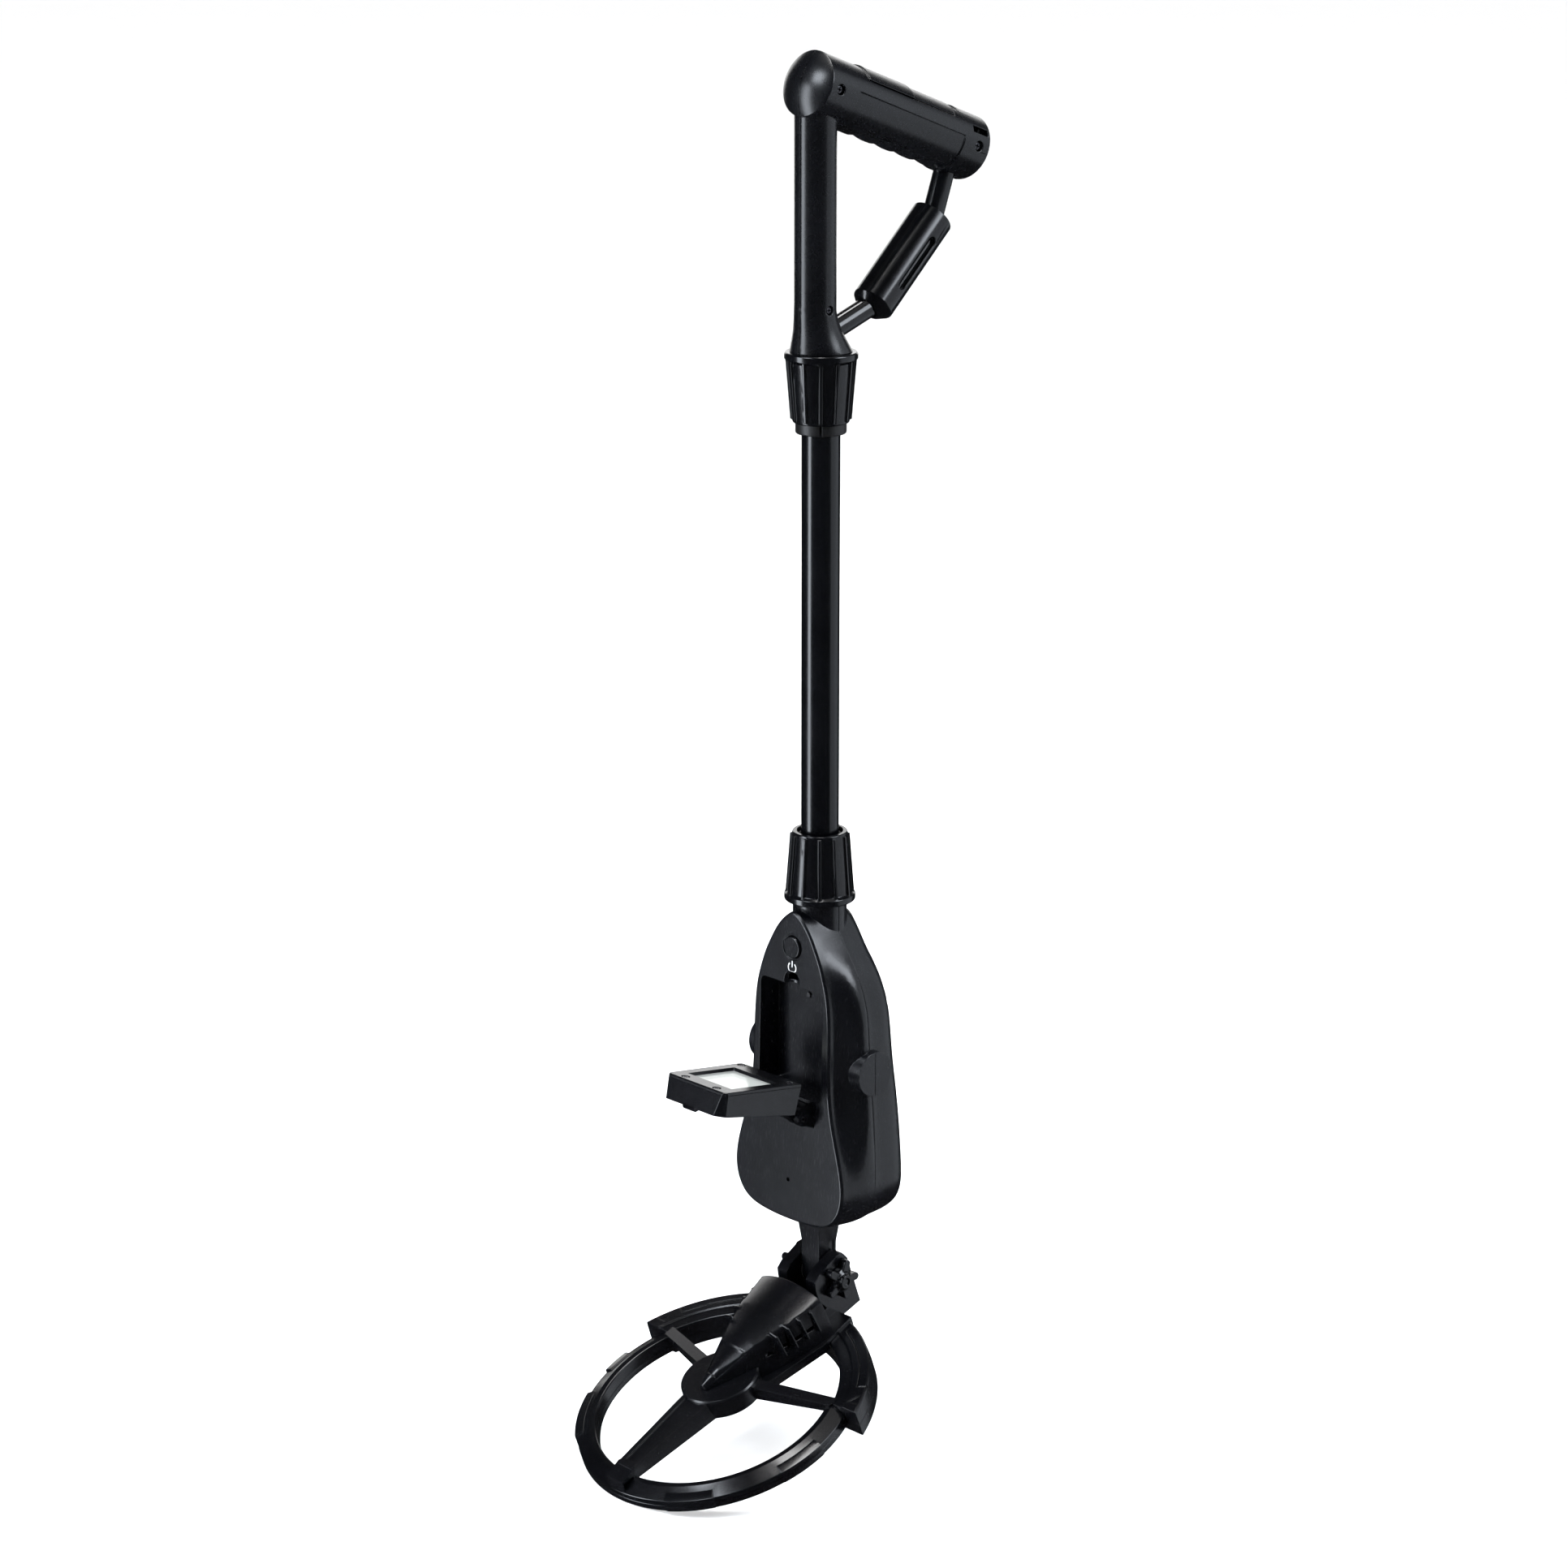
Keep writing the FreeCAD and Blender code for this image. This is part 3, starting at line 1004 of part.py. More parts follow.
outer_wires = [fairing_wire(station, 0.0) for station in FAIRING]
inner_wires = [fairing_wire(station, 2.0) for station in FAIRING[:4]]
fairing = Part.makeLoft(outer_wires, True, True)
hollow = Part.makeLoft(inner_wires, True, True)
hollow = hollow.cut(block(-40, 40, -22.0, 0, level(-5), level(40)))
fairing = fairing.cut(hollow)
for index in range(4):
    y = -28.2 - 7.6 * index
    rib = prism_y([(26.5, level(8.0)), (23.0, level(19.4)), (18.0, level(21.0)),
                   (12.0, level(12.0)), (18.0, level(8.0))], y - 0.6, y + 0.6)
    shift = -0.115 * (-20.0 - y)
    rib.translate(V(shift, 0, 0))
    fairing = fairing.fuse(both_sides(rib).cut(hollow))
    slot = block(14.0, 30.0, y - 7.0, y - 1.2, level(9.6), level(11.4))
    fairing = fairing.cut(both_sides(slot))
panel = prism_z([(4.0, -84.0), (9.5, -66.0), (-9.5, -66.0), (-4.0, -84.0)], level(8), level(40))
panel_floor = Part.makeLoft([fairing_wire(station, 0.7) for station in FAIRING], True, True)
fairing = fairing.cut(panel.cut(panel_floor))
fairing = fairing.cut(hub).cut(bridge)
save(in_coil(fairing), "coil_fairing")

# screws under the coil halves and the pivot hardware
coil_screws = []
for angle in COIL_SCREW_ANGLES:
    x, y = coil_screw_spot(angle)
    start = V(x, y, level(-HOUSING_DEEP + 0.2))
    coil_screws.append(in_coil(screw(2.1, 1.4, 0.95, 9.0, start, V(0, 0, 1))))
save(group(coil_screws), "coil_screws")

bolt = cylinder(BOLT_R, V(-19.6, 0, 0), V(19.4, 0, 0))
save(in_coil(bolt), "pivot_bolt")
washer = cylinder(6.0, V(6.0, 0, 0), V(EAR_IN, 0, 0))
washer = washer.cut(cylinder(BOLT_R + 0.05, V(5, 0, 0), V(8, 0, 0)))
save(in_coil(group([washer, mirror_x(washer)])), "pivot_washers")


def knob(bore):
    # lobed hand knob, flange beside the ear, hub pointing outwards
    inner = EAR_OUT + 0.3
    body = cylinder(6.6, V(inner, 0, 0), V(17.4, 0, 0))
    body = body.fuse(cone(6.6, 4.1, V(17.4, 0, 0), V(19.6, 0, 0)))
    body = body.fuse(cylinder(3.8, V(inner, 0, 0), V(20.7, 0, 0)))
    for index in range(5):
        lobe = block(inner, 18.4, -2.1, 2.1, 2.0, 9.0)
        lobe = lobe.fuse(cylinder(2.1, V(inner, 0, 9.0), V(18.4, 0, 9.0)))
        lobe.rotate(HOME, X_AXIS, 34.0 + 72.0 * index)
        body = body.fuse(lobe)
    body = body.cut(cylinder(bore, V(10, 0, 0), V(19.6, 0, 0)))
    return body.cut(cylinder(1.9, V(19.9, 0, 0), V(22, 0, 0)))


# the left knob is fixed to the bolt, the right knob turns on it
save(in_coil(knob(BOLT_R + 0.05)), "pivot_knob_right")
save(in_coil(mirror_x(knob(BOLT_R))), "pivot_knob_left")
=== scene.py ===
import json
import math

import bmesh
import bpy
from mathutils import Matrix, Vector
from mathutils.bvhtree import BVHTree


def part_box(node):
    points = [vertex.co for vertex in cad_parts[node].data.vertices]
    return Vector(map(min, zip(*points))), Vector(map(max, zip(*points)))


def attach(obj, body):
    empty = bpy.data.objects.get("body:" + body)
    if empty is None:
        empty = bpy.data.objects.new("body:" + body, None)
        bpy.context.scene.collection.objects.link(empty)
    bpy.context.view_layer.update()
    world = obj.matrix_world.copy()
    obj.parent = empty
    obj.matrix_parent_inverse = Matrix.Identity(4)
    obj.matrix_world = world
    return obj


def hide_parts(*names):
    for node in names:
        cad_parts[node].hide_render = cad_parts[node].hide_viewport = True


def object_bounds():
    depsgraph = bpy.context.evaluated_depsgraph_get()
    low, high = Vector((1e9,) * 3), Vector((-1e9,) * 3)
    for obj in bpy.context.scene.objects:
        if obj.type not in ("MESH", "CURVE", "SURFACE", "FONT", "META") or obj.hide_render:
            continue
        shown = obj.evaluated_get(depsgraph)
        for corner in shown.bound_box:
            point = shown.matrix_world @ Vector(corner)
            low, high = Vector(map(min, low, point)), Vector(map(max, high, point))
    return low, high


# Hand-held metal detector.  Metres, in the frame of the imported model: the origin is the
# middle of the hand grip, +Z runs up the shaft and the control box faces -Y.

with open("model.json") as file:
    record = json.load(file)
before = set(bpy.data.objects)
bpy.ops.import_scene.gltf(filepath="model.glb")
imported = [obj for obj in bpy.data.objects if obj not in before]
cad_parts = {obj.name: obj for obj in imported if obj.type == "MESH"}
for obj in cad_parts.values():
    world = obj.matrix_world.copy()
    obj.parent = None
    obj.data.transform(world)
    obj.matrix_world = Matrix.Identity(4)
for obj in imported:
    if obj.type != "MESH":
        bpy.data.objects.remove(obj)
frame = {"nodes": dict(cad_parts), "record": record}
cad_low, cad_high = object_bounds()
nodes = frame["nodes"]
body_of_node = {}
for body, members in frame["record"]["behaviour"]["bodies"].items():
    for member in members:
        body_of_node[member] = body
MM = 0.001
GRIP_SLOPE = math.radians(20.0)   # the grip falls this much from front to back


# ---- shader helpers -----------------------------------------------------------------
class Shader:
    """A material being built: adds nodes and links them by socket name."""

    def __init__(self, name):
        self.material = bpy.data.materials.new(name)
        self.material.use_nodes = True
        self.tree = self.material.node_tree
        self.surface = self.tree.nodes["Principled BSDF"]
        self.place = self.add("ShaderNodeTexCoord").outputs["Object"]

    def add(self, kind, **inputs):
        made = self.tree.nodes.new(kind)
        for name, value in inputs.items():
            self.put(made, name.replace("_", " "), value)
        return made

    def put(self, made, name, value):
        socket = made.inputs[name]
        if isinstance(value, bpy.types.NodeSocket):
            self.tree.links.new(value, socket)
        else:
            socket.default_value = value

    def set(self, **inputs):
        for name, value in inputs.items():
            self.put(self.surface, name.replace("_", " "), value)

    def noise(self, size, detail=3.0, rough=0.55, stretch=(1, 1, 1)):
        """Noise from 0 to 1 whose features are about size metres across."""
        where = self.add("ShaderNodeMapping", Vector=self.place, Scale=stretch)
        return self.add("ShaderNodeTexNoise", Vector=where.outputs[0], Scale=1.0 / size,
                        Detail=detail, Roughness=rough).outputs["Fac"]

    def remap(self, value, low, high, to_low=0.0, to_high=1.0):
        made = self.add("ShaderNodeMapRange", Value=value)
        made.inputs["From Min"].default_value = low
        made.inputs["From Max"].default_value = high
        made.inputs["To Min"].default_value = to_low
        made.inputs["To Max"].default_value = to_high
        return made.outputs[0]

    def math(self, operation, first, second):
        made = self.tree.nodes.new("ShaderNodeMath")
        made.operation = operation
        for socket, value in zip(made.inputs, (first, second)):
            if isinstance(value, bpy.types.NodeSocket):
                self.tree.links.new(value, socket)
            else:
                socket.default_value = value
        return made.outputs[0]

    def mix(self, share, first, second):
        made = self.tree.nodes.new("ShaderNodeMix")
        made.data_type = "RGBA"
        colours = [socket for socket in made.inputs if socket.type == "RGBA"]
        for socket, value in ((made.inputs[0], share), (colours[0], first),
                              (colours[1], second)):
            if isinstance(value, bpy.types.NodeSocket):
                self.tree.links.new(value, socket)
            else:
                socket.default_value = value
        return [socket for socket in made.outputs if socket.type == "RGBA"][0]

    def bump(self, height, depth, strength=1.0, under=None):
        made = self.add("ShaderNodeBump", Height=height, Strength=strength, Distance=depth)
        if under is not None:
            self.tree.links.new(under, made.inputs["Normal"])
        return made.outputs[0]

    def edge(self, wide, narrow=0.5):
        """1 on outer edges, 0 elsewhere, from how convex the surface is."""
        made = self.add("ShaderNodeNewGeometry").outputs["Pointiness"]
        return self.remap(made, narrow, wide)


def rgb(r, g, b):
    """An opaque colour."""
    return (r, g, b, 1.0)


# ---- materials ----------------------------------------------------------------------
def moulded_plastic(name, colour, rough, grain=0.45, depth=0.006, wave=0.010, scuffs=0.5):
    """Injection-moulded plastic: spark-textured skin, faint sink waves, handling marks."""
    made = Shader(name)
    broad = made.noise(38 * MM, 2.0)
    patch = made.noise(7 * MM, 4.0)
    skin = made.noise(grain * MM, 2.5, 0.6)
    speck = made.noise(0.18 * MM, 1.0)
    hair = made.noise(1.6 * MM, 2.0, 0.5, (14.0, 1.0, 0.35))
    scratch = made.remap(hair, 0.66, 0.72)
    tone = made.remap(made.math("ADD", broad, made.math("MULTIPLY", speck, 0.35)), 0.45, 0.9)
    dark = rgb(*[value * 0.75 for value in colour])
    light = rgb(*[value * 1.35 + 0.0008 for value in colour])
    base = made.mix(tone, dark, light)
    worn = rgb(*[value * 2.2 + 0.006 for value in colour])
    wear = made.math("MULTIPLY", made.edge(0.62, 0.53), made.remap(patch, 0.42, 0.66))
    base = made.mix(made.math("MULTIPLY", wear, 0.4), base, worn)
    level = made.remap(patch, 0.3, 0.7, rough - 0.012, rough + 0.018)
    level = made.math("ADD", level, made.math("MULTIPLY", scratch, 0.06 * scuffs))
    level = made.math("SUBTRACT", level, made.math("MULTIPLY", wear, 0.05))
    sink = made.bump(made.noise(24 * MM, 1.0), wave * MM, 0.6)
    texture = made.bump(skin, depth * MM, 1.0, sink)
    lines = made.bump(scratch, -0.004 * MM, scuffs, texture)
    made.set(Base_Color=base, Roughness=level, Normal=lines)
    made.set(IOR=1.5)
    return made.material


def painted_tube(name, colour, rough):
    """Powder coat on a drawn tube: orange peel, faint draw lines, rubbed streaks."""
    made = Shader(name)
    peel = made.noise(1.1 * MM, 2.0)
    draw = made.noise(2.2 * MM, 3.0, 0.6, (1.0, 1.0, 0.012))
    cloud = made.noise(26 * MM, 3.0)
    dust = made.remap(made.noise(0.5 * MM, 1.0), 0.74, 0.80)
    base = made.mix(made.remap(cloud, 0.3, 0.7), rgb(*[v * 0.8 for v in colour]),
                    rgb(*[v * 1.25 for v in colour]))
    base = made.mix(made.math("MULTIPLY", dust, 0.25), base, rgb(0.03, 0.03, 0.032))
    level = made.math("ADD", made.remap(draw, 0.3, 0.7, rough - 0.03, rough + 0.03),
                      made.remap(cloud, 0.3, 0.7, -0.02, 0.03))
    relief = made.bump(peel, 0.008 * MM, 0.7, made.bump(draw, 0.01 * MM, 0.35))
    made.set(Base_Color=base, Roughness=level, Normal=relief)
    made.set(IOR=1.5)
    return made.material


def turned_metal(name, colour, rough, line=0.25, stain=(0.09, 0.08, 0.07)):
    """Plated or bare metal with fine machining lines and a little tarnish."""
    made = Shader(name)
    line_marks = made.noise(line * MM, 2.0, 0.5, (1.0, 1.0, 6.0))
    cloud = made.noise(2.5 * MM, 3.0)
    base = made.mix(made.remap(cloud, 0.52, 0.75, 0.0, 0.55), rgb(*colour), rgb(*stain))
    level = made.math("ADD", made.remap(line_marks, 0.3, 0.7, rough - 0.05, rough + 0.08),
                      made.remap(cloud, 0.5, 0.8, 0.0, 0.12))
    relief = made.bump(line_marks, 0.005 * MM, 0.6)
    made.set(Base_Color=base, Roughness=level, Normal=relief)
    made.set(Metallic=1.0)
    return made.material


def soft_rubber(name, colour):
    """Matt rubber with fine pores and a pale bloom."""
    made = Shader(name)
    pores = made.noise(0.3 * MM, 3.0)
    bloom = made.noise(5 * MM, 3.0)
    base = made.mix(made.remap(bloom, 0.4, 0.75), rgb(*colour),
                    rgb(*[value * 1.8 + 0.004 for value in colour]))
    made.set(Base_Color=base, Roughness=made.remap(bloom, 0.3, 0.7, 0.62, 0.78),
             Normal=made.bump(pores, 0.02 * MM, 0.8))
    made.set(Sheen_Weight=0.12)
    return made.material


def liquid_crystal(name):
    """Reflective panel: pale half-mirror, faint grain, and a painted glow in place of lamp
    light.
    """
    made = Shader(name)
    grain = made.noise(0.28 * MM, 0.0, 0.5, (1.0, 1.0, 1.0))
    cloud = made.noise(14 * MM, 2.0)
    base = made.mix(made.remap(cloud, 0.3, 0.7), rgb(0.52, 0.55, 0.46), rgb(0.58, 0.61, 0.52))
    made.set(Base_Color=base, Roughness=made.remap(grain, 0.3, 0.7, 0.03, 0.06),
             Normal=made.bump(grain, 0.0004 * MM, 0.2))
    # the weak emission is painted light: a glow in place of the lamp light the panel would
    # catch
    made.set(Metallic=0.35, Emission_Color=rgb(0.72, 0.76, 0.66), Emission_Strength=0.10)
    return made.material


def clear_plastic(name):
    """Thin clear window: light passes straight through, the surface still shines."""
    made = Shader(name)
    haze = made.noise(9 * MM, 3.0)
    hair = made.noise(1.1 * MM, 1.0, 0.5, (9.0, 0.5, 1.0))
    scratch = made.remap(hair, 0.68, 0.74)
    level = made.math("ADD", made.remap(haze, 0.3, 0.7, 0.01, 0.05),
                      made.math("MULTIPLY", scratch, 0.08))
    made.set(Base_Color=rgb(0.96, 0.98, 0.96), Roughness=level, Alpha=0.4,
             Normal=made.bump(scratch, -0.002 * MM, 0.4))
    made.set(IOR=1.6, Specular_IOR_Level=0.8)
    return made.material


def circuit_board(name):
    """Green solder mask over copper tracks, with pale through-plated pads."""
    made = Shader(name)
    cells = made.add("ShaderNodeTexVoronoi", Vector=made.place, Scale=1.0 / (3.2 * MM))
    cells.distance = "MANHATTAN"
    tracks = made.remap(cells.outputs["Distance"], 0.30, 0.34)
    pads = made.remap(cells.outputs["Distance"], 0.10, 0.07)
    weave = made.noise(0.6 * MM, 1.0)
    mask = made.mix(tracks, rgb(0.02, 0.16, 0.06), rgb(0.012, 0.095, 0.038))
    mask = made.mix(made.math("MULTIPLY", weave, 0.15), mask, rgb(0.05, 0.22, 0.10))
    base = made.mix(pads, mask, rgb(0.60, 0.58, 0.52))
    made.set(Base_Color=base, Roughness=made.remap(weave, 0.3, 0.7, 0.24, 0.36),
             Normal=made.bump(tracks, -0.03 * MM, 0.7))
    made.set(Coat_Weight=0.3)
    return made.material


def cell_jacket(name, low, high):
    """Shrink film on a cell: orange band over graphite, split across the grip slope."""
    made = Shader(name)
    parts = made.add("ShaderNodeSeparateXYZ", Vector=made.place)
    slope = math.tan(GRIP_SLOPE)
    along = made.math("SUBTRACT", parts.outputs["Y"],
                      made.math("MULTIPLY", parts.outputs["Z"], slope))
    band = made.remap(along, low + (high - low) * 0.70, low + (high - low) * 0.705)
    wrinkle = made.noise(3 * MM, 3.0)
    base = made.mix(band, rgb(0.045, 0.047, 0.05), rgb(0.62, 0.20, 0.03))
    made.set(Base_Color=base, Roughness=made.remap(wrinkle, 0.3, 0.7, 0.18, 0.30),
             Normal=made.bump(wrinkle, 0.02 * MM, 0.4))
    made.set(Metallic=0.35)
    return made.material


def wound_copper(name):
    """Enamelled wire laid in turns round the coil."""
    made = Shader(name)
    turns = made.add("ShaderNodeTexWave", Vector=made.place, Scale=1.0 / (1.3 * MM),
                     Distortion=1.2)
    turns.bands_direction = "Z"
    shade = made.noise(4 * MM, 3.0)
    base = made.mix(made.remap(shade, 0.3, 0.7), rgb(0.50, 0.17, 0.07), rgb(0.66, 0.28, 0.12))
    made.set(Base_Color=base, Roughness=made.remap(shade, 0.3, 0.7, 0.25, 0.4),
             Normal=made.bump(turns.outputs["Fac"], 0.10 * MM, 0.8))
    made.set(Metallic=1.0)
    return made.material


def pressed_paper(name, colour):
    """Fibrous black paper, as in a speaker cone."""
    made = Shader(name)
    fibre = made.noise(0.5 * MM, 5.0, 0.7)
    base = made.mix(fibre, rgb(*[v * 0.6 for v in colour]), rgb(*[v * 1.5 for v in colour]))
    made.set(Base_Color=base, Roughness=made.remap(fibre, 0.3, 0.7, 0.75, 0.92),
             Normal=made.bump(fibre, 0.05 * MM, 0.8))
    made.set(Sheen_Weight=0.2)
    return made.material


cell_low, cell_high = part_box("battery_cells")
FINISH = {
    "handle_plastic": moulded_plastic("handle_plastic", (0.0024, 0.0027, 0.0038), 0.27),
    "gloss_black": moulded_plastic("gloss_black", (0.0018, 0.0020, 0.0028), 0.17, 0.9, 0.003),
    "bezel_plastic": moulded_plastic("bezel_plastic", (0.0030, 0.0032, 0.0040), 0.23, 0.3),
    "box_plastic": moulded_plastic("box_plastic", (0.0024, 0.0027, 0.0040), 0.25, 0.4),
    "coil_plastic": moulded_plastic("coil_plastic", (0.0022, 0.0024, 0.0034), 0.24, 0.5, 0.006),
    "coil_gloss": moulded_plastic("coil_gloss", (0.0018, 0.0020, 0.0028), 0.18, 1.2, 0.003),
    "collet_nylon": moulded_plastic("collet_nylon", (0.0040, 0.0040, 0.0044), 0.42, 0.6),
    "tube_paint": painted_tube("tube_paint", (0.0018, 0.0021, 0.0030), 0.20),
    "screw_steel": turned_metal("screw_steel", (0.09, 0.09, 0.10), 0.30),
    "contact_steel": turned_metal("contact_steel", (0.72, 0.71, 0.67), 0.22),
    "cell_jacket": cell_jacket("cell_jacket", cell_low.y, cell_high.y),
    "circuit_board": circuit_board("circuit_board"),
    "components": moulded_plastic("components", (0.012, 0.012, 0.012), 0.55, 0.2),
    "lcd_glass": liquid_crystal("lcd_glass"),
    "clear_window": clear_plastic("clear_window"),
    "speaker_steel": turned_metal("speaker_steel", (0.45, 0.45, 0.46), 0.34),
    "speaker_paper": pressed_paper("speaker_paper", (0.03, 0.03, 0.03)),
    "copper": wound_copper("copper"),
    "washer_rubber": soft_rubber("washer_rubber", (0.012, 0.012, 0.012)),
}


# ---- clean copies of the CAD pieces with rounded edges ---------------------------------
# Edge radius of each piece in millimetres; every moulding has some.
EDGE_RADIUS = {
    "handle_shell_left": 0.45, "handle_shell_right": 0.45, "battery_cover": 0.35,
    "brace_rod": 0.4, "brace_sleeve": 0.6, "upper_collar": 0.3, "lower_collar": 0.3,
    "upper_collet": 0.25, "lower_collet": 0.25, "shaft_tube": 0.2,
    "control_box_front": 0.35, "control_box_rear": 0.35, "power_button": 0.25,
    "hinge_bracket": 0.4, "display_case": 0.5, "display_bezel": 0.25,
    "coil_stem": 0.45, "coil_bridge": 0.4, "coil_fairing": 0.4,
    "coil_housing_top": 0.4, "coil_housing_bottom": 0.4,
    "coil_ring_top": 0.35, "coil_ring_bottom": 0.35,
    "pivot_knob_left": 0.5, "pivot_knob_right": 0.5,
    "handle_screws": 0.1, "display_screws": 0.1, "control_box_screws": 0.1,
}
CREASE = math.radians(28.0)       # edges turning more than this are rounded
SHARP = math.radians(21.0)        # edges between the two angles stay crisp lines
FLAT = math.radians(0.4)          # faces turning less than this become one face
WELD = 0.03 * MM                  # vertices closer than this are joined
REACH_ALLOWED = 0.01 * MM         # how far a rounded piece may pass its CAD box
SHRINK = 0.6                      # what a radius that passes it is multiplied by
SHRINK_TRIES = 6


def clean_copy(name):
    """The node's mesh with shared vertices and flat faces merged into one face each."""
    source = nodes[name].data
    work = bmesh.new()
    work.from_mesh(source)
    bmesh.ops.remove_doubles(work, verts=work.verts, dist=WELD)
    bmesh.ops.dissolve_limit(work, angle_limit=FLAT, verts=work.verts, edges=work.edges)
    for face in work.faces:
        face.smooth = True
    for edge in work.edges:
        edge.smooth = not SHARP < edge.calc_face_angle(0.0) < CREASE
    mesh = bpy.data.meshes.new(name + "_skin")
    work.to_mesh(mesh)
    work.free()
    return mesh


def reach_past(piece, name):
    """How far the rounded piece sticks out of the CAD piece's own box, in metres."""
    bpy.context.view_layer.update()
    rounded = piece.evaluated_get(bpy.context.evaluated_depsgraph_get())
    mesh = rounded.to_mesh()
    most = 0.0
    for axis in range(3):
        seen = [corner.co[axis] for corner in mesh.vertices]
        real = [corner.co[axis] for corner in nodes[name].data.vertices]
        most = max(most, min(real) - min(seen), max(seen) - max(real))
    rounded.to_mesh_clear()
    return most


def round_edges(name, radius):
    """A clean copy of the node with its edges rounded, shown in the node's place."""
    piece = bpy.data.objects.new(name + "_skin", clean_copy(name))
    bpy.context.scene.collection.objects.link(piece)
    bevel = piece.modifiers.new("edges", "BEVEL")
    bevel.width = radius * MM
    bevel.segments = 2
    bevel.limit_method = "ANGLE"
    bevel.angle_limit = CREASE
    bevel.use_clamp_overlap = False
    bevel.harden_normals = True
    weights = piece.modifiers.new("normals", "WEIGHTED_NORMAL")
    weights.keep_sharp = True
    # a radius too big for a piece's small faces throws spikes, so it shrinks until none do
    for _ in range(SHRINK_TRIES):
        if reach_past(piece, name) <= REACH_ALLOWED:
            break
        bevel.width *= SHRINK
    else:
        bevel.use_clamp_overlap = True
    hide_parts(name)
    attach(piece, body_of_node[name])
    return piece


shown = dict(nodes)
for name, radius in EDGE_RADIUS.items():
    shown[name] = round_edges(name, radius)

for entry in frame["record"]["subparts"]:
    piece = shown[entry["node"]]
    piece.data.materials.clear()
    piece.data.materials.append(FINISH[entry["material_slot"]])


# ---- power mark printed under the button ------------------------------------------------
# A plain ring with a gap and a stroke, the sign every appliance uses.
button_low, button_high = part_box("power_button")
MARK_X = (button_low.x + button_high.x) / 2
MARK_Z = button_low.z - 5.2 * MM
MARK_RADIUS = 2.7 * MM
MARK_LINE = 0.6 * MM
MARK_GAP = 38.0                   # degrees from straight up to each end of the ring
MARK_STEPS = 40
STROKE_LOW = 0.3 * MM
STROKE_HIGH = 3.6 * MM
INK = 0.03 * MM                   # how far the print stands off the face


def face_level(x, z):
    """How far forward the print lies at this place on the front of the control box."""
    place = skin_of_box.ray_cast(Vector((x, cad_low.y - 0.1, z)), Vector((0, 1, 0)))[0]
    return place.y - INK


def mark_ring(mesh):
    """A flat curved band round the mark's middle, open at the top."""
    rows = []
    for index in range(MARK_STEPS + 1):
        angle = math.radians(MARK_GAP + (360.0 - 2 * MARK_GAP) * index / MARK_STEPS)
        rows.append([])
        for radius in (MARK_RADIUS - MARK_LINE / 2, MARK_RADIUS + MARK_LINE / 2):
            x = MARK_X + math.sin(angle) * radius
            z = MARK_Z + math.cos(angle) * radius
            rows[-1].append(mesh.verts.new((x, face_level(x, z), z)))
    for near, far in zip(rows, rows[1:]):
        mesh.faces.new((near[0], near[1], far[1], far[0]))


def mark_stroke(mesh):
    """The upright stroke in the gap."""
    corners = [(-MARK_LINE / 2, STROKE_LOW), (MARK_LINE / 2, STROKE_LOW),
               (MARK_LINE / 2, STROKE_HIGH), (-MARK_LINE / 2, STROKE_HIGH)]
    mesh.faces.new([mesh.verts.new((MARK_X + x, face_level(MARK_X + x, MARK_Z + z), MARK_Z + z))
                    for x, z in corners])


box_mesh = bmesh.new()
box_mesh.from_mesh(nodes["control_box_front"].data)
skin_of_box = BVHTree.FromBMesh(box_mesh)
box_mesh.free()
mark_mesh = bmesh.new()
mark_ring(mark_mesh)
mark_stroke(mark_mesh)
mark_data = bpy.data.meshes.new("power_mark")
mark_mesh.to_mesh(mark_data)
mark_mesh.free()
power_mark = bpy.data.objects.new("power_mark", mark_data)
bpy.context.scene.collection.objects.link(power_mark)
ink = Shader("pad_print_ink")
speckle = ink.noise(0.12 * MM, 2.0)
ink.set(Base_Color=ink.mix(speckle, rgb(0.72, 0.73, 0.74), rgb(0.86, 0.87, 0.88)),
        Roughness=ink.remap(speckle, 0.3, 0.7, 0.42, 0.56))
mark_data.materials.append(ink.material)
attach(power_mark, "control_box")


# ---- floor, light and camera -----------------------------------------------------------
FLOOR_LEVEL = cad_low.z
FLOOR_HALF = 14.0


def stage_piece(name, points, faces):
    """A part of the set: seen by the camera, kept out of reflections and shadows."""
    mesh = bpy.data.meshes.new(name)
    mesh.from_pydata(points, [], faces)
    piece = bpy.data.objects.new(name, mesh)
    bpy.context.scene.collection.objects.link(piece)
    piece.visible_glossy = False
    piece.visible_shadow = False
    return piece


floor = stage_piece("floor", [(-FLOOR_HALF, -FLOOR_HALF, FLOOR_LEVEL),
                              (FLOOR_HALF, -FLOOR_HALF, FLOOR_LEVEL),
                              (FLOOR_HALF, FLOOR_HALF, FLOOR_LEVEL),
                              (-FLOOR_HALF, FLOOR_HALF, FLOOR_LEVEL)], [(0, 1, 2, 3)])
paper = Shader("floor_paper")
paper_grain = paper.noise(60 * MM, 3.0)
paper.set(Base_Color=paper.mix(paper_grain, rgb(0.915, 0.915, 0.915), rgb(0.925, 0.925, 0.925)),
          Roughness=0.9)
floor.data.materials.append(paper.material)

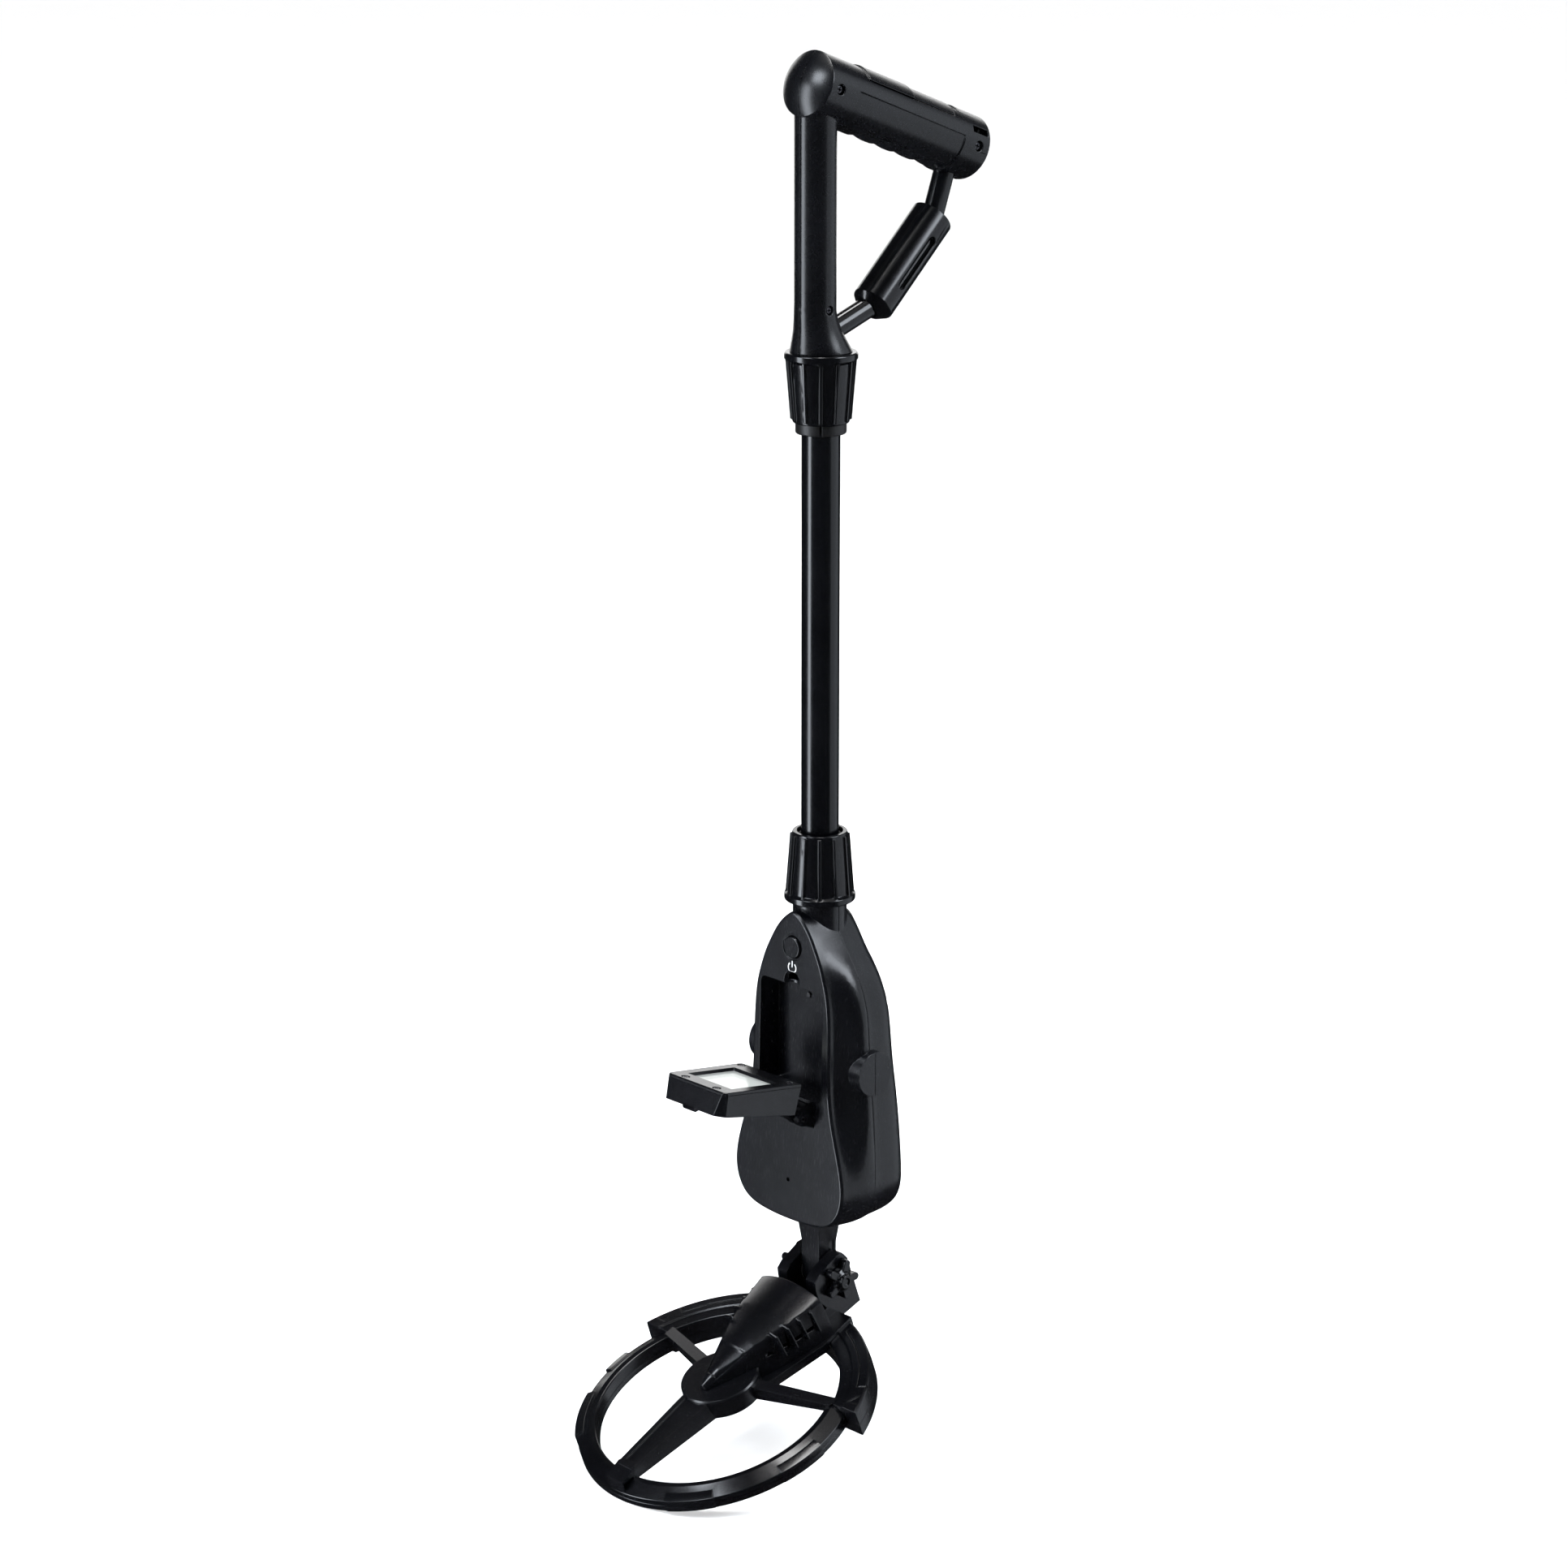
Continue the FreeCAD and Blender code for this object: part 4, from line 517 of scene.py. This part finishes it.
# a white round wall that stands on the floor and reaches its edges
WALL_SIDES = 72
WALL_HEIGHT = 9.0
wall_points = []
wall_faces = []
for index in range(WALL_SIDES):
    angle = 2 * math.pi * index / WALL_SIDES
    for rise in (0.0, WALL_HEIGHT):
        wall_points.append((math.cos(angle) * FLOOR_HALF, math.sin(angle) * FLOOR_HALF,
                            FLOOR_LEVEL + rise))
    corner = 2 * index
    after = 2 * ((index + 1) % WALL_SIDES)
    wall_faces.append((corner, after, after + 1, corner + 1))
wall = stage_piece("backdrop", wall_points, wall_faces)
wall.visible_diffuse = False
wall.visible_transmission = False
cloth = Shader("backdrop_cloth")
cloth_grain = cloth.noise(90 * MM, 3.0)
cloth.set(Base_Color=cloth.mix(cloth_grain, rgb(0.90, 0.90, 0.90), rgb(0.92, 0.92, 0.92)),
          Roughness=0.9)
cloth.set(Emission_Color=rgb(1.0, 1.0, 1.0), Emission_Strength=1.0)
wall.data.materials.append(cloth.material)

MIDDLE = (cad_low + cad_high) / 2
FACING = math.radians(46.03)      # azimuth of the camera round the object
CAMERA_RISE = math.radians(16.14)
CAMERA_AT = Vector((1.3621, -1.3836, 0.2249))


def round_about(turn, distance, rise):
    """A point round the object: turn is from the camera's side, positive to its left."""
    angle = FACING - math.radians(turn)
    return MIDDLE + Vector((math.sin(angle) * distance, -math.cos(angle) * distance, rise))


def softbox(name, place, width, height, radiance):
    """A rectangular light aimed at the object's middle; radiance doesn't depend on size."""
    data = bpy.data.lights.new(name, "AREA")
    data.shape = "RECTANGLE"
    data.size = width
    data.size_y = height
    data.energy = radiance * math.pi * width * height
    lamp = bpy.data.objects.new(name, data)
    bpy.context.scene.collection.objects.link(lamp)
    lamp.location = place
    lamp.rotation_euler = (place - MIDDLE).to_track_quat("Z", "Y").to_euler()
    lamp.visible_camera = False
    return lamp


COOL_WHITE = (0.86, 0.92, 1.0)
left_box = softbox("left_softbox", round_about(71, 1.5, -0.1), 0.48, 2.0, 8.5)
right_box = softbox("right_softbox", round_about(-94, 1.6, 0.0), 2.0, 2.2, 0.75)
softbox("back_card", round_about(180, 2.2, 0.45), 2.4, 1.3, 1.9)
softbox("top_softbox", MIDDLE + Vector((0.1, 0.2, 1.8)), 1.6, 1.6, 0.5)
softbox("edge_strip", MIDDLE + Vector((-0.15, 0.15, 1.7)), 0.3, 1.3, 15.0)
high_left = softbox("high_left", round_about(52, 1.3, 1.35), 0.6, 0.6, 14.0)
high_right = softbox("high_right", round_about(-72, 1.4, 1.05), 0.8, 0.8, 9.0)
for lamp in (left_box, right_box, high_left, high_right):
    lamp.data.color = COOL_WHITE

# these two light the floor alone: one lays a faint shadow, the other fills it in
only_floor = bpy.data.collections.new("lit_by_floor_lights")
only_floor.objects.link(floor)
for name, energy, shaded in (("floor_light", 1.1, True), ("floor_fill", 2.5, False)):
    sun = bpy.data.lights.new(name, "SUN")
    sun.energy = energy
    sun.angle = math.radians(70)
    sun.use_shadow = shaded
    sun_lamp = bpy.data.objects.new(name, sun)
    bpy.context.scene.collection.objects.link(sun_lamp)
    sun_lamp.rotation_euler = (math.radians(12), math.radians(8), 0)
    sun_lamp.light_linking.receiver_collection = only_floor

bpy.context.scene.view_settings.view_transform = "Standard"
world = bpy.data.worlds.new("studio")
bpy.context.scene.world = world
world.use_nodes = True
world.node_tree.nodes["Background"].inputs["Color"].default_value = rgb(0.95, 0.97, 1.0)
world.node_tree.nodes["Background"].inputs["Strength"].default_value = 0.02

lens = bpy.data.cameras.new("camera")
lens.lens = 91.4
lens.sensor_width = 36.0
lens.clip_start = 0.05
lens.clip_end = 60.0
camera = bpy.data.objects.new("camera", lens)
bpy.context.scene.collection.objects.link(camera)
camera.location = CAMERA_AT
camera.rotation_euler = (math.pi / 2 - CAMERA_RISE, 0.0, FACING)
bpy.context.scene.camera = camera
